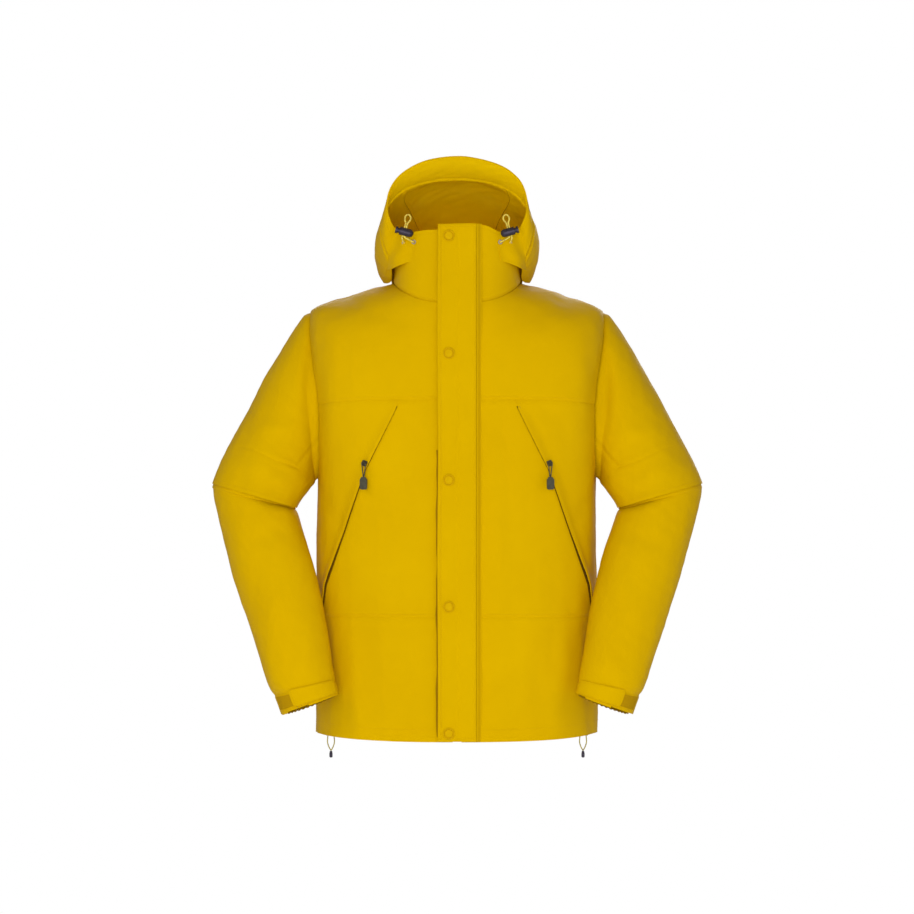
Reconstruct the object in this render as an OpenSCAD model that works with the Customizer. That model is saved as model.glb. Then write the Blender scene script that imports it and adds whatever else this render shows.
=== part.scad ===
// Hooded shell ski jacket, worn shape: sewn cloth panels, storm flap with snaps, zips, hood,
// drawcords with cord locks, articulated sleeves and cuffs with adjuster tabs.
// X runs to the wearer's left, -Y is the front, Z is up. The origin is the crown of the hanger
// loop inside the back of the neck, where a hook carries the jacket.

/* [Body] */
// Half width of the body at the hem
body_half_w = 226; // [215:1:235]
// How far the front placket stands before the hanger loop
front_y = -178; // [-190:1:-170]
// Height of the hem at the centre front, below the hanger loop
hem_z = -752; // [-790:1:-730]
// Height of the waist seam
waist_z = -552; // [-570:1:-540]
// Thickness of the shell cloth with its backing
cloth = 2; // [1.5:0.5:3]

/* [Neck and shoulders] */
// Half width of the neck hole
neck_half_w = 102; // [98:1:106]
// Height of the collar's top edge at the centre front
collar_top_z = 66; // [60:1:70]
// Half width across the shoulder points
shoulder_half_w = 235; // [230:1:240]

/* [Closures] */
// Half width of the storm flap
flap_half_w = 31; // [28:1:34]
// Number of snaps on the storm flap
snap_count = 5; // [3:1:6]
// Radius of a snap cap
snap_r = 9.5; // [7:0.5:10]
// Length of a hand pocket's zip
pocket_zip_len = 167; // [160:1:172]

/* [Cords] */
// Diameter of the hood and hem drawcords
cord_d = 2.8; // [2.5:0.1:3]
// Travel of a cord lock's button
button_travel = 3; // [2:0.5:3.5]

/* [Hidden] */

shell_colour = [0.84, 0.69, 0.02];
lining_colour = [0.70, 0.55, 0.05];
dark_colour = [0.08, 0.08, 0.09];
metal_colour = [0.35, 0.33, 0.30];
small_fn = 48;
gap = 0.4;             // air between cloth layers that touch on the real jacket

// Rings round the body, from the hem up to the neckline. Each is
// [front z, side x, side y, side z, back y, back z, squareness].
ring_keys = [
  [hem_z,       body_half_w,       -62, hem_z + 14,   68, hem_z + 4,   2.7],
  [hem_z + 60,  body_half_w,       -62, hem_z + 66,   67, hem_z + 62,  2.7],
  [waist_z,     body_half_w - 2,   -62, waist_z,      60, waist_z,     2.7],
  [-430,        body_half_w - 2.5, -62, -432,         63, -432,        2.9],
  [-330,        body_half_w - 3,   -62, -330,         70, -330,        3.4],
  [-204,        body_half_w,       -60, -216,         72, -200,        4.2],
  [-124,        shoulder_half_w,   -58, -64,          58, -92,         3.2],
  [-84,         170,               -60, -38,          34, -42,         2.6],
  [-50,         neck_half_w,       -80, -18,          12, 4,           2.6]
];
ARMPIT = 4;            // ring numbers that seams follow
YOKE = 5;
SHOULDER = 6;
armhole_depth = 62;    // half the armhole's width, front to back
placket_x = 7;         // half the gap between the two front edges, where the zip shows

// Where the pocket seam crosses the front, as [z, x].
pocket_seam = [[-552, 221], [-500, 213], [-317, 150], [-204, 94]];

// Rings down a sleeve: [outer x, outer z, inner x, inner z, centre y, half depth].
sleeve_keys = [
  [238, -66,  228, -332, -60,  60],
  [268, -108, 229, -336, -62,  64],
  [322, -206, 231, -340, -68,  66],
  [354, -266, 237, -348, -77,  66],
  [389, -336, 256, -376, -88,  64],
  [389, -362, 254, -388, -92,  62],
  [366, -464, 233, -460, -118, 56],
  [335, -557, 211, -549, -142, 50],
  [305, -651, 198, -634, -162, 42],
  [292, -678, 194, -655, -168, 38],
  [281, -707, 189, -673, -173, 36]
];

// Arches over the hood, from the front rim to the nape:
// [edge point, edge handle, crown handle x, crown y, crown z].
hood_keys = [
  [[97, -152, 66],   [136, -170, 122], 100, -192, 184],
  [[105, -136, 12],  [152, -146, 96],   98, -112, 157],
  [[106, -96, -14],  [176, -94, 42],    98, -60,  148],
  [[118, -48, -14],  [150, -30, 44],    80,  14,  114],
  [[92, 2, 4],       [108, 38, 24],     56,  52,  62],
  [[56, 26, 14],     [46, 32, 16],      28,  35,  16]
];
hood_cols = 15;        // columns over a half arch
hood_side_cols = 10;   // columns of those that a side panel covers
hood_panel_t = hood_side_cols / hood_cols;

function lerp(a, b, t) = a + (b - a) * t;
function key_at(keys, v) =
  let (i = min(floor(v), len(keys) - 2)) lerp(keys[i], keys[i + 1], v - i);
function look_up(table, z) = lookup(z, table);

// A point on the body. a runs from 0 at the centre front, by 90 at the side, to 180 at the back.
function body_point(v, a, inset) =
  let (
    k = key_at(ring_keys, v),
    s = abs(sin(a)),
    c = abs(cos(a)),
    r = pow(pow(s, k[6]) + pow(c, k[6]), -1 / k[6]),
    top = max(0, min(1, v - YOKE)),
    reach = a <= 90 ? front_y + inset - k[2] : k[4] - inset - k[2],
    fall = a <= 90 ? k[0] - k[3] : k[5] - k[3]
  )
  [(k[1] - inset) * r * s, k[2] + reach * r * c, k[3] + fall * pow(r * c, 2) - inset * top];

// The angle at which the front of a ring reaches x, or a distance h before or behind its side.
function angle_of_x(v, x) =
  let (k = key_at(ring_keys, v), s = min(1, x / k[1])) atan2(s, pow(1 - pow(s, k[6]), 1 / k[6]));
function angle_of_h(v, h, reach) =
  let (k = key_at(ring_keys, v), c = min(1, h / reach)) atan2(pow(1 - pow(c, k[6]), 1 / k[6]), c);
function armhole_h(v) =
  v <= ARMPIT || v >= SHOULDER ? 0
  : armhole_depth * sqrt(1 - pow(2 * (v - ARMPIT) / (SHOULDER - ARMPIT) - 1, 2));
function front_side_angle(v) =
  angle_of_h(v, armhole_h(v), key_at(ring_keys, v)[2] - front_y);
function back_side_angle(v) =
  180 - angle_of_h(v, armhole_h(v), key_at(ring_keys, v)[4] - key_at(ring_keys, v)[2]);
function placket_angle(v) = angle_of_x(v, placket_x);
function pocket_angle(v) =
  angle_of_x(v, look_up(pocket_seam, key_at(ring_keys, v)[0]));

// A point on a sleeve. a runs from 0 at the outer edge, by 90 at the front, to 180 at the inner edge.
function sleeve_point(w, a, inset) =
  let (
    k = key_at(sleeve_keys, w),
    outer = [k[0], k[4], k[1]],
    inner = [k[2], k[4], k[3]],
    half = (outer - inner) / 2,
    grip = 1 - inset / norm(half)
  )
  (outer + inner) / 2 + half * grip * cos(a) + [0, -(k[5] - inset) * sin(a), 0];

// A point on the wearer's left half of the hood; t runs from 0 at the edge to 1 at the crown.
function bezier(p, q, r, s, t) =
  p * pow(1 - t, 3) + 3 * q * t * pow(1 - t, 2) + 3 * r * pow(t, 2) * (1 - t) + s * pow(t, 3);
function hood_point(v, t, inset) =
  let (
    k = key_at(hood_keys, v),
    crown = [0, k[3], k[4]],
    middle = [0, -70, 50],
    p = bezier(k[0], k[1], crown + [k[2], 0, 0], crown, t),
    out = p - middle
  )
  p - out / norm(out) * inset;

// A closed cloth panel between an outer and an inner grid of points.
module panel(outer, inner) {
  m = len(outer);
  n = len(outer[0]);
  count = m * n;
  points = concat([for (row = outer) each row], [for (row = inner) each row]);
  function at(i, j, side) = side * count + i * n + j;
  quads = [
    for (i = [0 : m - 2], j = [0 : n - 2]) each [
      [at(i, j, 0), at(i, j + 1, 0), at(i + 1, j + 1, 0), at(i + 1, j, 0)],
      [at(i, j, 1), at(i + 1, j, 1), at(i + 1, j + 1, 1), at(i, j + 1, 1)]
    ],
    for (j = [0 : n - 2]) each [
      [at(0, j, 1), at(0, j + 1, 1), at(0, j + 1, 0), at(0, j, 0)],
      [at(m - 1, j, 0), at(m - 1, j + 1, 0), at(m - 1, j + 1, 1), at(m - 1, j, 1)]
    ],
    for (i = [0 : m - 2]) each [
      [at(i, 0, 0), at(i + 1, 0, 0), at(i + 1, 0, 1), at(i, 0, 1)],
      [at(i, n - 1, 1), at(i + 1, n - 1, 1), at(i + 1, n - 1, 0), at(i, n - 1, 0)]
    ]
  ];
  triangles = [for (q = quads) each [[q[0], q[1], q[2]], [q[0], q[2], q[3]]]];
  polyhedron(points, triangles);
}

// A closed tube of cloth between rings of points, each ring a loop.
module tube(outer, inner) {
  m = len(outer);
  n = len(outer[0]);
  count = m * n;
  points = concat([for (row = outer) each row], [for (row = inner) each row]);
  function at(i, j, side) = side * count + i * n + j % n;
  quads = [
    for (i = [0 : m - 2], j = [0 : n - 1]) each [
      [at(i, j, 0), at(i, j + 1, 0), at(i + 1, j + 1, 0), at(i + 1, j, 0)],
      [at(i, j, 1), at(i + 1, j, 1), at(i + 1, j + 1, 1), at(i, j + 1, 1)]
    ],
    for (j = [0 : n - 1]) each [
      [at(0, j, 1), at(0, j + 1, 1), at(0, j + 1, 0), at(0, j, 0)],
      [at(m - 1, j, 0), at(m - 1, j + 1, 0), at(m - 1, j + 1, 1), at(m - 1, j, 1)]
    ]
  ];
  triangles = [for (q = quads) each [[q[0], q[1], q[2]], [q[0], q[2], q[3]]]];
  polyhedron(points, triangles);
}

module on_side(side) {
  if (side == "left") children();
  else mirror([1, 0, 0]) children();
}

// One half's panel from ring v0 to v1, between the angles that two functions give.
module body_panel(rows, cols, from_angle, to_angle, inset, thick) {
  function grid(depth) = [
    for (v = rows) [for (j = [0 : cols]) body_point(v, lerp(from_angle(v), to_angle(v), j / cols), depth)]
  ];
  panel(grid(inset), grid(inset + thick));
}

// A panel right across the back, from one side's edge to the other's.
module back_wrap(rows, cols, edge_angle, inset, thick) {
  function mirrored(p, side) = [p[0] * side, p[1], p[2]];
  function grid(depth) = [
    for (v = rows) [
      for (j = [-cols : cols])
        mirrored(body_point(v, lerp(180, edge_angle(v), abs(j) / cols), depth), j < 0 ? -1 : 1)
    ]
  ];
  mirror([1, 0, 0]) panel(grid(inset), grid(inset + thick));
}

side_angle = function (v) 90;
low_rows = [0, 0.5, 1, 2];
mid_rows = [2, 2.5, 3, 3.5, 4, 4.25, 4.5, 4.75, 5];
yoke_rows = [5, 5.25, 5.5, 5.75, 6, 6.5, 7, 7.5, 8];

module front_yoke() {
  color(shell_colour)
    body_panel(yoke_rows, 9, function (v) placket_angle(v), function (v) front_side_angle(v), 0, cloth);
}
module front_panel() {
  color(shell_colour)
    body_panel(mid_rows, 7, function (v) placket_angle(v), function (v) pocket_angle(v), 0, cloth);
}
module side_panel() {
  color(shell_colour)
    body_panel(mid_rows, 6, function (v) pocket_angle(v), function (v) front_side_angle(v), 0, cloth);
}
module front_hem() {
  color(shell_colour)
    body_panel(low_rows, 10, function (v) placket_angle(v), side_angle, 0, cloth);
}
module back_yoke() {
  color(shell_colour) back_wrap(yoke_rows, 8, function (v) back_side_angle(v), 0, cloth);
}
module back_panel() {
  color(shell_colour)
    back_wrap([0, 0.5, 1, each mid_rows], 8, function (v) back_side_angle(v), 0, cloth);
}

// The lining hangs inside the shell, below the armholes, and stops short of the placket.
lining_inset = 7;
lining_thick = 1.5;
lining_edge_x = 32;
module body_lining() {
  function edge(v) = angle_of_x(v, lining_edge_x);
  rows = [0.25, 1, 2, 3, 3.9];
  function mirrored(p, side) = [p[0] * side, p[1], p[2]];
  function grid(depth) = [
    for (v = rows) [
      for (j = [-14 : 14]) mirrored(body_point(v, lerp(180, edge(v), abs(j) / 14), depth), j < 0 ? -1 : 1)
    ]
  ];
  color(lining_colour) mirror([1, 0, 0]) panel(grid(lining_inset), grid(lining_inset + lining_thick));
}

// Pocket bags hang flat between the shell and the lining, inside the pocket seam.
module pocket_bag() {
  rows = [2.05, 2.5, 3, 3.5, 3.85];
  color(lining_colour)
    body_panel(rows, 4, function (v) angle_of_x(v, 70), function (v) angle_of_x(v, 165),
      cloth + 0.8, 2.4);
}

/* Collar */
collar_keys = [
  // [front z, side x, side y, side z, back y, back z, squareness]
  [-50 + gap,     neck_half_w, -80, -18 + gap, 12, 4 + gap, 2.6],
  [10,            100,         -82, 18,        9,  34,      3],
  [collar_top_z,  97,          -84, 58,        4,  58,      3.2]
];
function collar_point(v, a, inset) =
  let (
    k = key_at(collar_keys, v),
    s = abs(sin(a)),
    c = abs(cos(a)),
    r = pow(pow(s, k[6]) + pow(c, k[6]), -1 / k[6]),
    reach = a <= 90 ? front_y + inset - k[2] : k[4] - inset - k[2],
    fall = a <= 90 ? k[0] - k[3] : k[5] - k[3]
  )
  [(k[1] - inset) * r * s, k[2] + reach * r * c, k[3] + fall * pow(r * c, 2)];
function collar_edge_angle(v) = atan2(placket_x / key_at(collar_keys, v)[1], 1);

module collar_half() {
  function grid(depth) = [
    for (v = [0 : 0.5 : 2]) [
      for (j = [0 : 16]) collar_point(v, lerp(collar_edge_angle(v), 180, j / 16), depth)
    ]
  ];
  color(shell_colour) panel(grid(0), grid(cloth));
}
collar_air = 1.8;
module collar_lining() {
  function mirrored(p, side) = [p[0] * side, p[1], p[2]];
  function grid(depth) = [
    for (v = [0.1, 0.5, 1, 1.5, 1.95]) [
      for (j = [-16 : 16]) mirrored(collar_point(v, lerp(180, 15, abs(j) / 16), depth), j < 0 ? -1 : 1)
    ]
  ];
  color(lining_colour)
    mirror([1, 0, 0]) panel(grid(cloth + collar_air), grid(cloth + collar_air + lining_thick));
}

// A webbing loop whose ends are sewn inside the back yoke. A hook carries its crown, and the
// origin is where they touch.
loop_half_w = 32;
loop_web = 8;
loop_thick = 1.6;
loop_r = 15;
loop_drop = 20;         // from the crown's underside down to the sewn ends
loop_foot = 10;
module loop_outline(shrink) {
  hull() {
    translate([0, -loop_r]) circle(r = loop_r + loop_thick - shrink, $fn = small_fn);
    translate([-loop_half_w + 2 * shrink, -loop_drop - loop_thick + shrink])
      square([2 * loop_half_w - 4 * shrink, 0.1]);
  }
}
module hanger_loop() {
  color(dark_colour) {
    translate([0, loop_web / 2, 0]) rotate([90, 0, 0]) linear_extrude(loop_web)
      difference() {
        loop_outline(0);
        loop_outline(loop_thick);
      }
    for (side = [-1, 1])
      translate([side * (loop_half_w - loop_foot / 2) - loop_foot / 2, loop_web / 2 - 1, -loop_drop - loop_thick])
        cube([loop_foot, 13, loop_thick]);
  }
}

/* Main zip: tapes and chain stand behind the front edges, in the gap between them */
zip_bottom = hem_z + 12;
zip_top = collar_top_z - 10;
zip_plane = front_y + 6;        // middle of the chain, front to back
chain_w = 5.8;
chain_t = 2.4;
tape_w = 16;
tape_t = 0.8;
module zip_tapes() {
  color(shell_colour)
    for (side = [-1, 1])
      translate([side > 0 ? 1.8 : -1.8 - tape_w, zip_plane - tape_t / 2, zip_bottom])
        cube([tape_w, tape_t, zip_top - zip_bottom]);
}
chain_gap = 0.6;                // from the middle to each half of the chain, where the sliders' bridge runs
module zip_chain() {
  color(dark_colour)
    for (side = [-1, 1])
      difference() {
        translate([side > 0 ? chain_gap : -chain_w / 2, zip_plane - chain_t / 2, zip_bottom + 12])
          cube([chain_w / 2 - chain_gap, chain_t, zip_top - zip_bottom - 20]);
        // The tape runs into a slot in each half of the chain.
        translate([side > 0 ? 1.75 : -1.75 - tape_w, zip_plane - tape_t / 2 - 0.05, zip_bottom])
          cube([tape_w, tape_t + 0.1, zip_top - zip_bottom]);
      }
}
module zip_end_stops() {
  color(metal_colour) {
    for (side = [-1, 1])
      translate([side * 2.4, zip_plane, zip_top - 4]) difference() {
        cube([3, 3.2, 5], center = true);
        translate([side * 2, 0, 0]) cube([5.4, tape_t + 0.1, 6], center = true);
      }
    translate([0, zip_plane, zip_bottom + 5.5]) difference() {
      cube([8.4, 4.4, 11], center = true);
      cube([20, tape_t + 0.1, 12], center = true);
    }
  }
}

// A slider: two plates joined by a bridge, hollow where the chain runs, and a bail for the pull.
module slider_body(w, len, chain) {
  difference() {
    union() {
      hull() {
        translate([0, 0, len / 2 - 2]) cube([w, 4.4, 4], center = true);
        translate([0, 0, -len / 2 + 2]) cube([w - 3, 4.4, 4], center = true);
      }
      translate([0, -3.4, 1]) difference() {
        cube([2.4, 2.6, 8], center = true);
        rotate([0, 90, 0]) cylinder(r = 1.0, h = 4, center = true, $fn = 24);
      }
    }
    cube([chain + 0.8, chain_t + 0.4, len + 2], center = true);
    cube([w + 2, tape_t + 0.4, len + 2], center = true);
  }
  cube([chain_gap, 3.6, 4], center = true);
}
// A pull tab on a pin through the bail; the tab hangs below the pin.
module pull_tab(w, len, thick) {
  rotate([0, 90, 0]) cylinder(r = 0.8, h = 5.6, center = true, $fn = 24);
  for (side = [-1, 1])
    translate([side * 2.3, 0, -3]) cube([1.2, 1.6, 6.4], center = true);
  difference() {
    hull() {
      translate([0, 0, -6]) cube([5.8, 1.6, 1], center = true);
      translate([0, 0, -len + w / 2]) rotate([90, 0, 0]) cylinder(r = w / 2, h = thick, center = true, $fn = 32);
    }
    translate([0, 0, -len + w / 2]) rotate([90, 0, 0]) cylinder(r = 1.2, h = 6, center = true, $fn = 24);
  }
}
main_slider_z = zip_top - 20;
module main_slider() {
  color(metal_colour) translate([0, zip_plane, main_slider_z]) slider_body(11, 12, chain_w);
}
main_pull_pos = [0, zip_plane - 3.4, main_slider_z + 1];
module main_pull() {
  color(dark_colour) translate(main_pull_pos) pull_tab(6, 26, 2);
}

/* Storm flap: sewn at the wearer's left, snapped at the wearer's right */
flap_gap = 5;                       // room for the zip slider's pull behind the flap
flap_y = front_y - flap_gap;        // inner face of the flap
flap_thick = 3;
flap_top = collar_top_z + 11;
flap_bottom = hem_z + 1;
flap_hinge = [flap_half_w + 1, flap_y - flap_thick / 2, 0];
snap_x = -13;
snap_first_z = collar_top_z - 8;
snap_second_z = -130;
snap_last_z = hem_z + 14;
function snap_z(i) = i == 0 ? snap_first_z : lerp(snap_second_z, snap_last_z, (i - 1) / (snap_count - 2));
strip_w = 3;
module flap_seam_strip() {
  color(shell_colour)
    translate([flap_hinge[0] + 2.4, flap_y, flap_bottom])
      cube([strip_w, front_y - 0.4 - flap_y, flap_top - flap_bottom]);
}
module storm_flap() {
  color(shell_colour)
    difference() {
      translate([-flap_half_w, flap_y - flap_thick, flap_bottom])
        cube([2 * flap_half_w, flap_thick, flap_top - flap_bottom]);
      for (i = [0 : snap_count - 1])
        translate([snap_x, flap_y - flap_thick / 2, snap_z(i)]) rotate([90, 0, 0])
          cylinder(r = 2.2, h = flap_thick + 2, center = true, $fn = small_fn);
    }
}
module snap_caps() {
  color(shell_colour)
    for (i = [0 : snap_count - 1])
      translate([snap_x, flap_y - flap_thick, snap_z(i)]) rotate([90, 0, 0]) {
        translate([0, 0, gap / 4]) cylinder(r1 = snap_r, r2 = snap_r - 1, h = 1.6, $fn = small_fn);
        translate([0, 0, -flap_thick - 0.2]) cylinder(r = 2, h = flap_thick + 0.4, $fn = small_fn);
      }
}
socket_h = 2.2;
module snap_sockets() {
  color(metal_colour)
    for (i = [0 : snap_count - 1])
      translate([snap_x, flap_y + gap / 4, snap_z(i)]) rotate([-90, 0, 0])
        difference() {
          cylinder(r = snap_r - 2.5, h = socket_h, $fn = small_fn);
          translate([0, 0, -1]) cylinder(r = 3.4, h = socket_h + 2, $fn = small_fn);
        }
}
module snap_studs() {
  color(metal_colour)
    for (i = [0 : snap_count - 1])
      translate([snap_x, front_y - 0.6, snap_z(i)]) rotate([90, 0, 0]) {
        cylinder(r = 5.5, h = 0.8, $fn = small_fn);
        translate([0, 0, 0.8]) cylinder(r = 2.6, h = 2.6, $fn = small_fn);
      }
}

/* Hand pockets: a straight zip just under the pocket seam's edge */
pocket_top = [148, 0, -306];        // where the closed slider stands, on the front
pocket_slant = 53;                  // how far the zip runs outwards
pocket_low = pocket_top + [pocket_slant, 0, -sqrt(pow(pocket_zip_len, 2) - pow(pocket_slant, 2))];
function pocket_y(x, v) = body_point(v, angle_of_x(v, x), 0)[1];
// The zip is straight and the front is not, so its ends stand this far off the cloth.
pocket_a = [pocket_top[0], pocket_y(pocket_top[0], 4.19) - 6, pocket_top[2]];
pocket_b = [pocket_low[0], pocket_y(pocket_low[0], 2.72) - 10.5, pocket_low[2]];
pocket_dir = (pocket_b - pocket_a) / norm(pocket_b - pocket_a);
pocket_tilt = atan2(pocket_dir[0], -pocket_dir[2]);   // seen from the front
pocket_lean = asin(pocket_dir[1]);                    // into the body, towards the side
pocket_yaw = 26;                                      // the front turns away towards the side
module at_pocket(distance) {
  translate(pocket_a + pocket_dir * distance)
    rotate([0, -pocket_tilt, 0]) rotate([pocket_lean, 0, 0]) rotate([0, 0, pocket_yaw]) children();
}
pocket_tape_w = 4;
module pocket_zip() {
  len = norm(pocket_b - pocket_a);
  color(dark_colour) at_pocket(len / 2 + 2)
    for (side = [-1, 1]) {
      translate([side * (chain_gap + 0.8), 0, 0]) cube([1.6, 1.6, len], center = true);
      translate([side * (chain_gap + 1.2 + pocket_tape_w / 2), 0, 0])
        cube([pocket_tape_w, tape_t / 2, len], center = true);
    }
}
module pocket_slider() {
  color(dark_colour) at_pocket(0) difference() {
    union() {
      hull() {
        cube([8.4, 3.2, 6], center = true);
        cube([6.4, 3.2, 9], center = true);
      }
      translate([0, -2.6, 0]) difference() {
        cube([2.4, 2.4, 3.6], center = true);
        rotate([0, 90, 0]) cylinder(r = 0.9, h = 4, center = true, $fn = 24);
      }
    }
    cube([chain_w - 0.8, 2.2, 20], center = true);
    cube([20, tape_t / 2 + 0.5, 20], center = true);
  }
  color(dark_colour) at_pocket(0) cube([chain_gap, 2.6, 3], center = true);
}
// A cord pull with a moulded grip. Its pin turns in the slider's bail, and the rest hangs straight down.
pocket_pin = [0, -2.6, 0];
pull_cord_len = 23;
pull_grip = [12, 3, 19];
module pocket_pull() {
  color(dark_colour) {
    at_pocket(0) translate(pocket_pin) rotate([0, 90, 0]) cylinder(r = 0.8, h = 8, center = true, $fn = 24);
    translate(pocket_a) rotate([0, 0, pocket_yaw]) translate([0, pocket_pin[1] - 0.3, 0]) {
      for (side = [-1, 1])
        translate([side * 3.4, 0, side]) rotate([0, side * 7, 0]) translate([0, 0, -pull_cord_len / 2 + 0.3])
          cube([1.3, 1.2, pull_cord_len], center = true);
      translate([0, -0.4, -pull_cord_len]) hull() {
        cube([6, pull_grip[1] - 0.8, 2], center = true);
        translate([0, 0, -6]) cube([pull_grip[0], pull_grip[1], 6], center = true);
        for (side = [-1, 1])
          translate([side * (pull_grip[0] / 2 - 3), 0, -pull_grip[2] + 3]) rotate([90, 0, 0])
            cylinder(r = 3, h = pull_grip[1] - 0.6, center = true, $fn = 32);
      }
    }
  }
}

/* Hood */
module hood_panel(rows, t_from, t_to, cols) {
  function grid(depth) = [
    for (v = rows) [for (j = [0 : cols]) hood_point(v, lerp(t_from, t_to, j / cols), depth)]
  ];
  panel(grid(cloth), grid(0));
}
module hood_arch(rows, t_edge, cols) {
  function mirrored(p, side) = [p[0] * side, p[1], p[2]];
  function grid(depth) = [
    for (v = rows) [
      for (j = [-cols : cols])
        mirrored(hood_point(v, lerp(1, t_edge, abs(j) / cols), depth), j < 0 ? -1 : 1)
    ]
  ];
  panel(grid(0), grid(cloth));
}
hood_rows = [1, 1.5, 2, 2.5, 3, 3.5, 4, 4.5, 5];
module hood_centre_panel() { color(shell_colour) hood_arch(hood_rows, hood_panel_t, hood_cols - hood_side_cols); }
module hood_side() { color(shell_colour) hood_panel(hood_rows, 0, hood_panel_t, hood_side_cols); }
module hood_brim() { color(shell_colour) hood_arch([0, 0.33, 0.67, 1], 0, hood_cols); }

/* Drawcords */
// A tube swept along a route of points, its sides kept square to the route.
function unit(v) = v / norm(v);
function tangent(route, i) =
  unit(route[min(i + 1, len(route) - 1)] - route[max(i - 1, 0)]);
function ring_round(route, i, r, sides, up) =
  let (t = tangent(route, i), u = unit(cross(up, t)), w = cross(t, u))
  [for (k = [0 : sides - 1]) route[i] + r * (u * cos(360 * k / sides) + w * sin(360 * k / sides))];
module swept_cord(route, d, up) {
  sides = 8;
  rings = [for (i = [0 : len(route) - 1]) ring_round(route, i, d / 2, sides, up)];
  last = (len(route) - 1) * sides;
  walls = [
    for (i = [0 : len(route) - 2], k = [0 : sides - 1])
      let (a = i * sides + k, b = i * sides + (k + 1) % sides) each [[a, a + sides, b + sides], [a, b + sides, b]]
  ];
  caps = [[for (k = [0 : sides - 1]) k], [for (k = [sides - 1 : -1 : 0]) last + k]];
  polyhedron([for (ring = rings) each ring], concat(walls, caps));
}

// The cord lock lies across the corner where the hood's rim meets the collar. Its own Z axis points
// outwards, at the button's end, and its own X points down, along the two strands that run through it.
lock_pos = [84, -171, 64];
lock_tilt = 75;                     // of the barrel from upright, seen from the front
lock_r = 6.5;
lock_len = 20;
plunger_r = 4.2;
strand_z = 1.5;
module at_lock() {
  translate(lock_pos) rotate([0, lock_tilt, 0]) children();
}
// A slot through the lock for both strands, its ends at these places along the lock's own axis.
module lock_slot(from, to) {
  hull() for (z = [from, to]) translate([0, 0, z]) rotate([0, 90, 0])
    cylinder(r = cord_d / 2 + 0.3, h = 40, center = true, $fn = 32);
}
module cord_lock() {
  color(dark_colour) at_lock() difference() {
    union() {
      cylinder(r = lock_r, h = lock_len - 4, center = true, $fn = small_fn);
      translate([0, 0, -lock_len / 2 + 2]) sphere(r = lock_r, $fn = small_fn);
    }
    translate([0, 0, -lock_len / 2 + 1]) cylinder(r = plunger_r + 0.08, h = lock_len, $fn = small_fn);
    lock_slot(-strand_z, strand_z);
  }
}
module cord_lock_button() {
  color(dark_colour) at_lock() difference() {
    union() {
      translate([0, 0, -4]) cylinder(r = plunger_r, h = 16, $fn = small_fn);
      translate([0, 0, lock_len / 2 - 2 + button_travel + 0.4]) cylinder(r = lock_r - 1, h = 3.4, $fn = small_fn);
    }
    // The slot stays open round the cord while the button travels.
    lock_slot(-strand_z, strand_z + button_travel);
  }
}
// Route of the hood cord: out of the inner eyelet on the collar, up through the lock, round a loop
// above it, and back down to the outer eyelet. In the lock's own frame.
hood_cord_route = [
  [12, 1.5, -18.5], [12, 0.2, -18.3], [12, -0.9, -17.6], [11.8, -1.5, -16.4], [11.4, -1.6, -15],
  [11, -1.2, -12.5], [10, -0.6, -9], [9, -0.1, -5], [7, 0, -1.5], [2, 0, -1.5], [-3, 0, -1.5],
  [-8, 0, -1.5], [-13, 0, -1.5], [-16, 0, -2], [-20, 0, -4], [-24, 0, -4], [-27, 0, -2], [-28, 0, 1],
  [-26, 0, 4], [-22, 0, 5], [-18, 0, 4], [-15, 0, 2], [-13, 0, 1.5], [-8, 0, 1.5], [-3, 0, 1.5], [2, 0, 1.5],
  [7, 0, 1.5], [11, 0, 1], [14, 2, -1], [16, 6, -3], [17, 10.5, -4]
];
module hood_cord() { color(shell_colour) at_lock() swept_cord(hood_cord_route, cord_d - 0.3, [0.02, 1, 0.01]); }
module hood_eyelets() {
  color(metal_colour)
    for (side = ["right", "left"]) on_side(side) at_lock()
      for (p = [hood_cord_route[0], hood_cord_route[len(hood_cord_route) - 1]])
        translate(p + [0, 0.4, 0]) rotate([-90, 0, 0]) difference() {
          cylinder(r = 3.6, h = 0.7, $fn = 32);
          translate([0, 0, -1]) cylinder(r = 1.9, h = 3, $fn = 32);
        }
}

// The hem drawcord hangs out below the hem as a loop on each side, closed by a clamped cord end.
hem_loop_x = 202;
hem_loop_y = body_point(0.05, angle_of_x(0.05, hem_loop_x), cloth)[1] + 7.8;
hem_loop_top = hem_z + 9;
hem_cord_route = [
  [-7, 0, 0], [-7.6, 0, -4], [-8, 0, -8], [-7.4, 0, -12], [-5.6, 0, -16], [-3.4, 0, -19.5], [-1.2, 0, -22], [0, 0, -23],
  [1.2, 0, -22], [3.4, 0, -19.5], [5.6, 0, -16], [7.4, 0, -12], [8, 0, -8], [7.6, 0, -4], [7, 0, 0]
];
hem_cord_d = 1.8;
hem_loop_yaw = 45;                  // the hem turns this much towards the side where the loop hangs
module at_hem_loop() {
  translate([hem_loop_x, hem_loop_y, hem_loop_top]) rotate([0, 0, hem_loop_yaw]) children();
}
module hem_cord_loop() { color([0.55, 0.5, 0.2]) at_hem_loop() swept_cord(hem_cord_route, hem_cord_d, [0, 1, 0]); }
module hem_cord_end() {
  color(dark_colour) at_hem_loop() translate([0, 0, -24.1]) mirror([0, 0, 1]) {
    cylinder(r1 = 1.8, r2 = 2.6, h = 4, $fn = 32);
    translate([0, 0, 4]) cylinder(r = 2.6, h = 5, $fn = 32);
    translate([0, 0, 9]) cylinder(r1 = 2.6, r2 = 1.8, h = 1.5, $fn = 32);
  }
}
module hem_eyelets() {
  color(metal_colour)
    for (side = ["right", "left"]) on_side(side) at_hem_loop()
      for (s = [-1, 1]) translate([s * 7, 0, 0.4]) difference() {
        cylinder(r = 2.6, h = 1, $fn = 32);
        translate([0, 0, -1]) cylinder(r = 1.2, h = 3, $fn = 32);
      }
}

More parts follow.
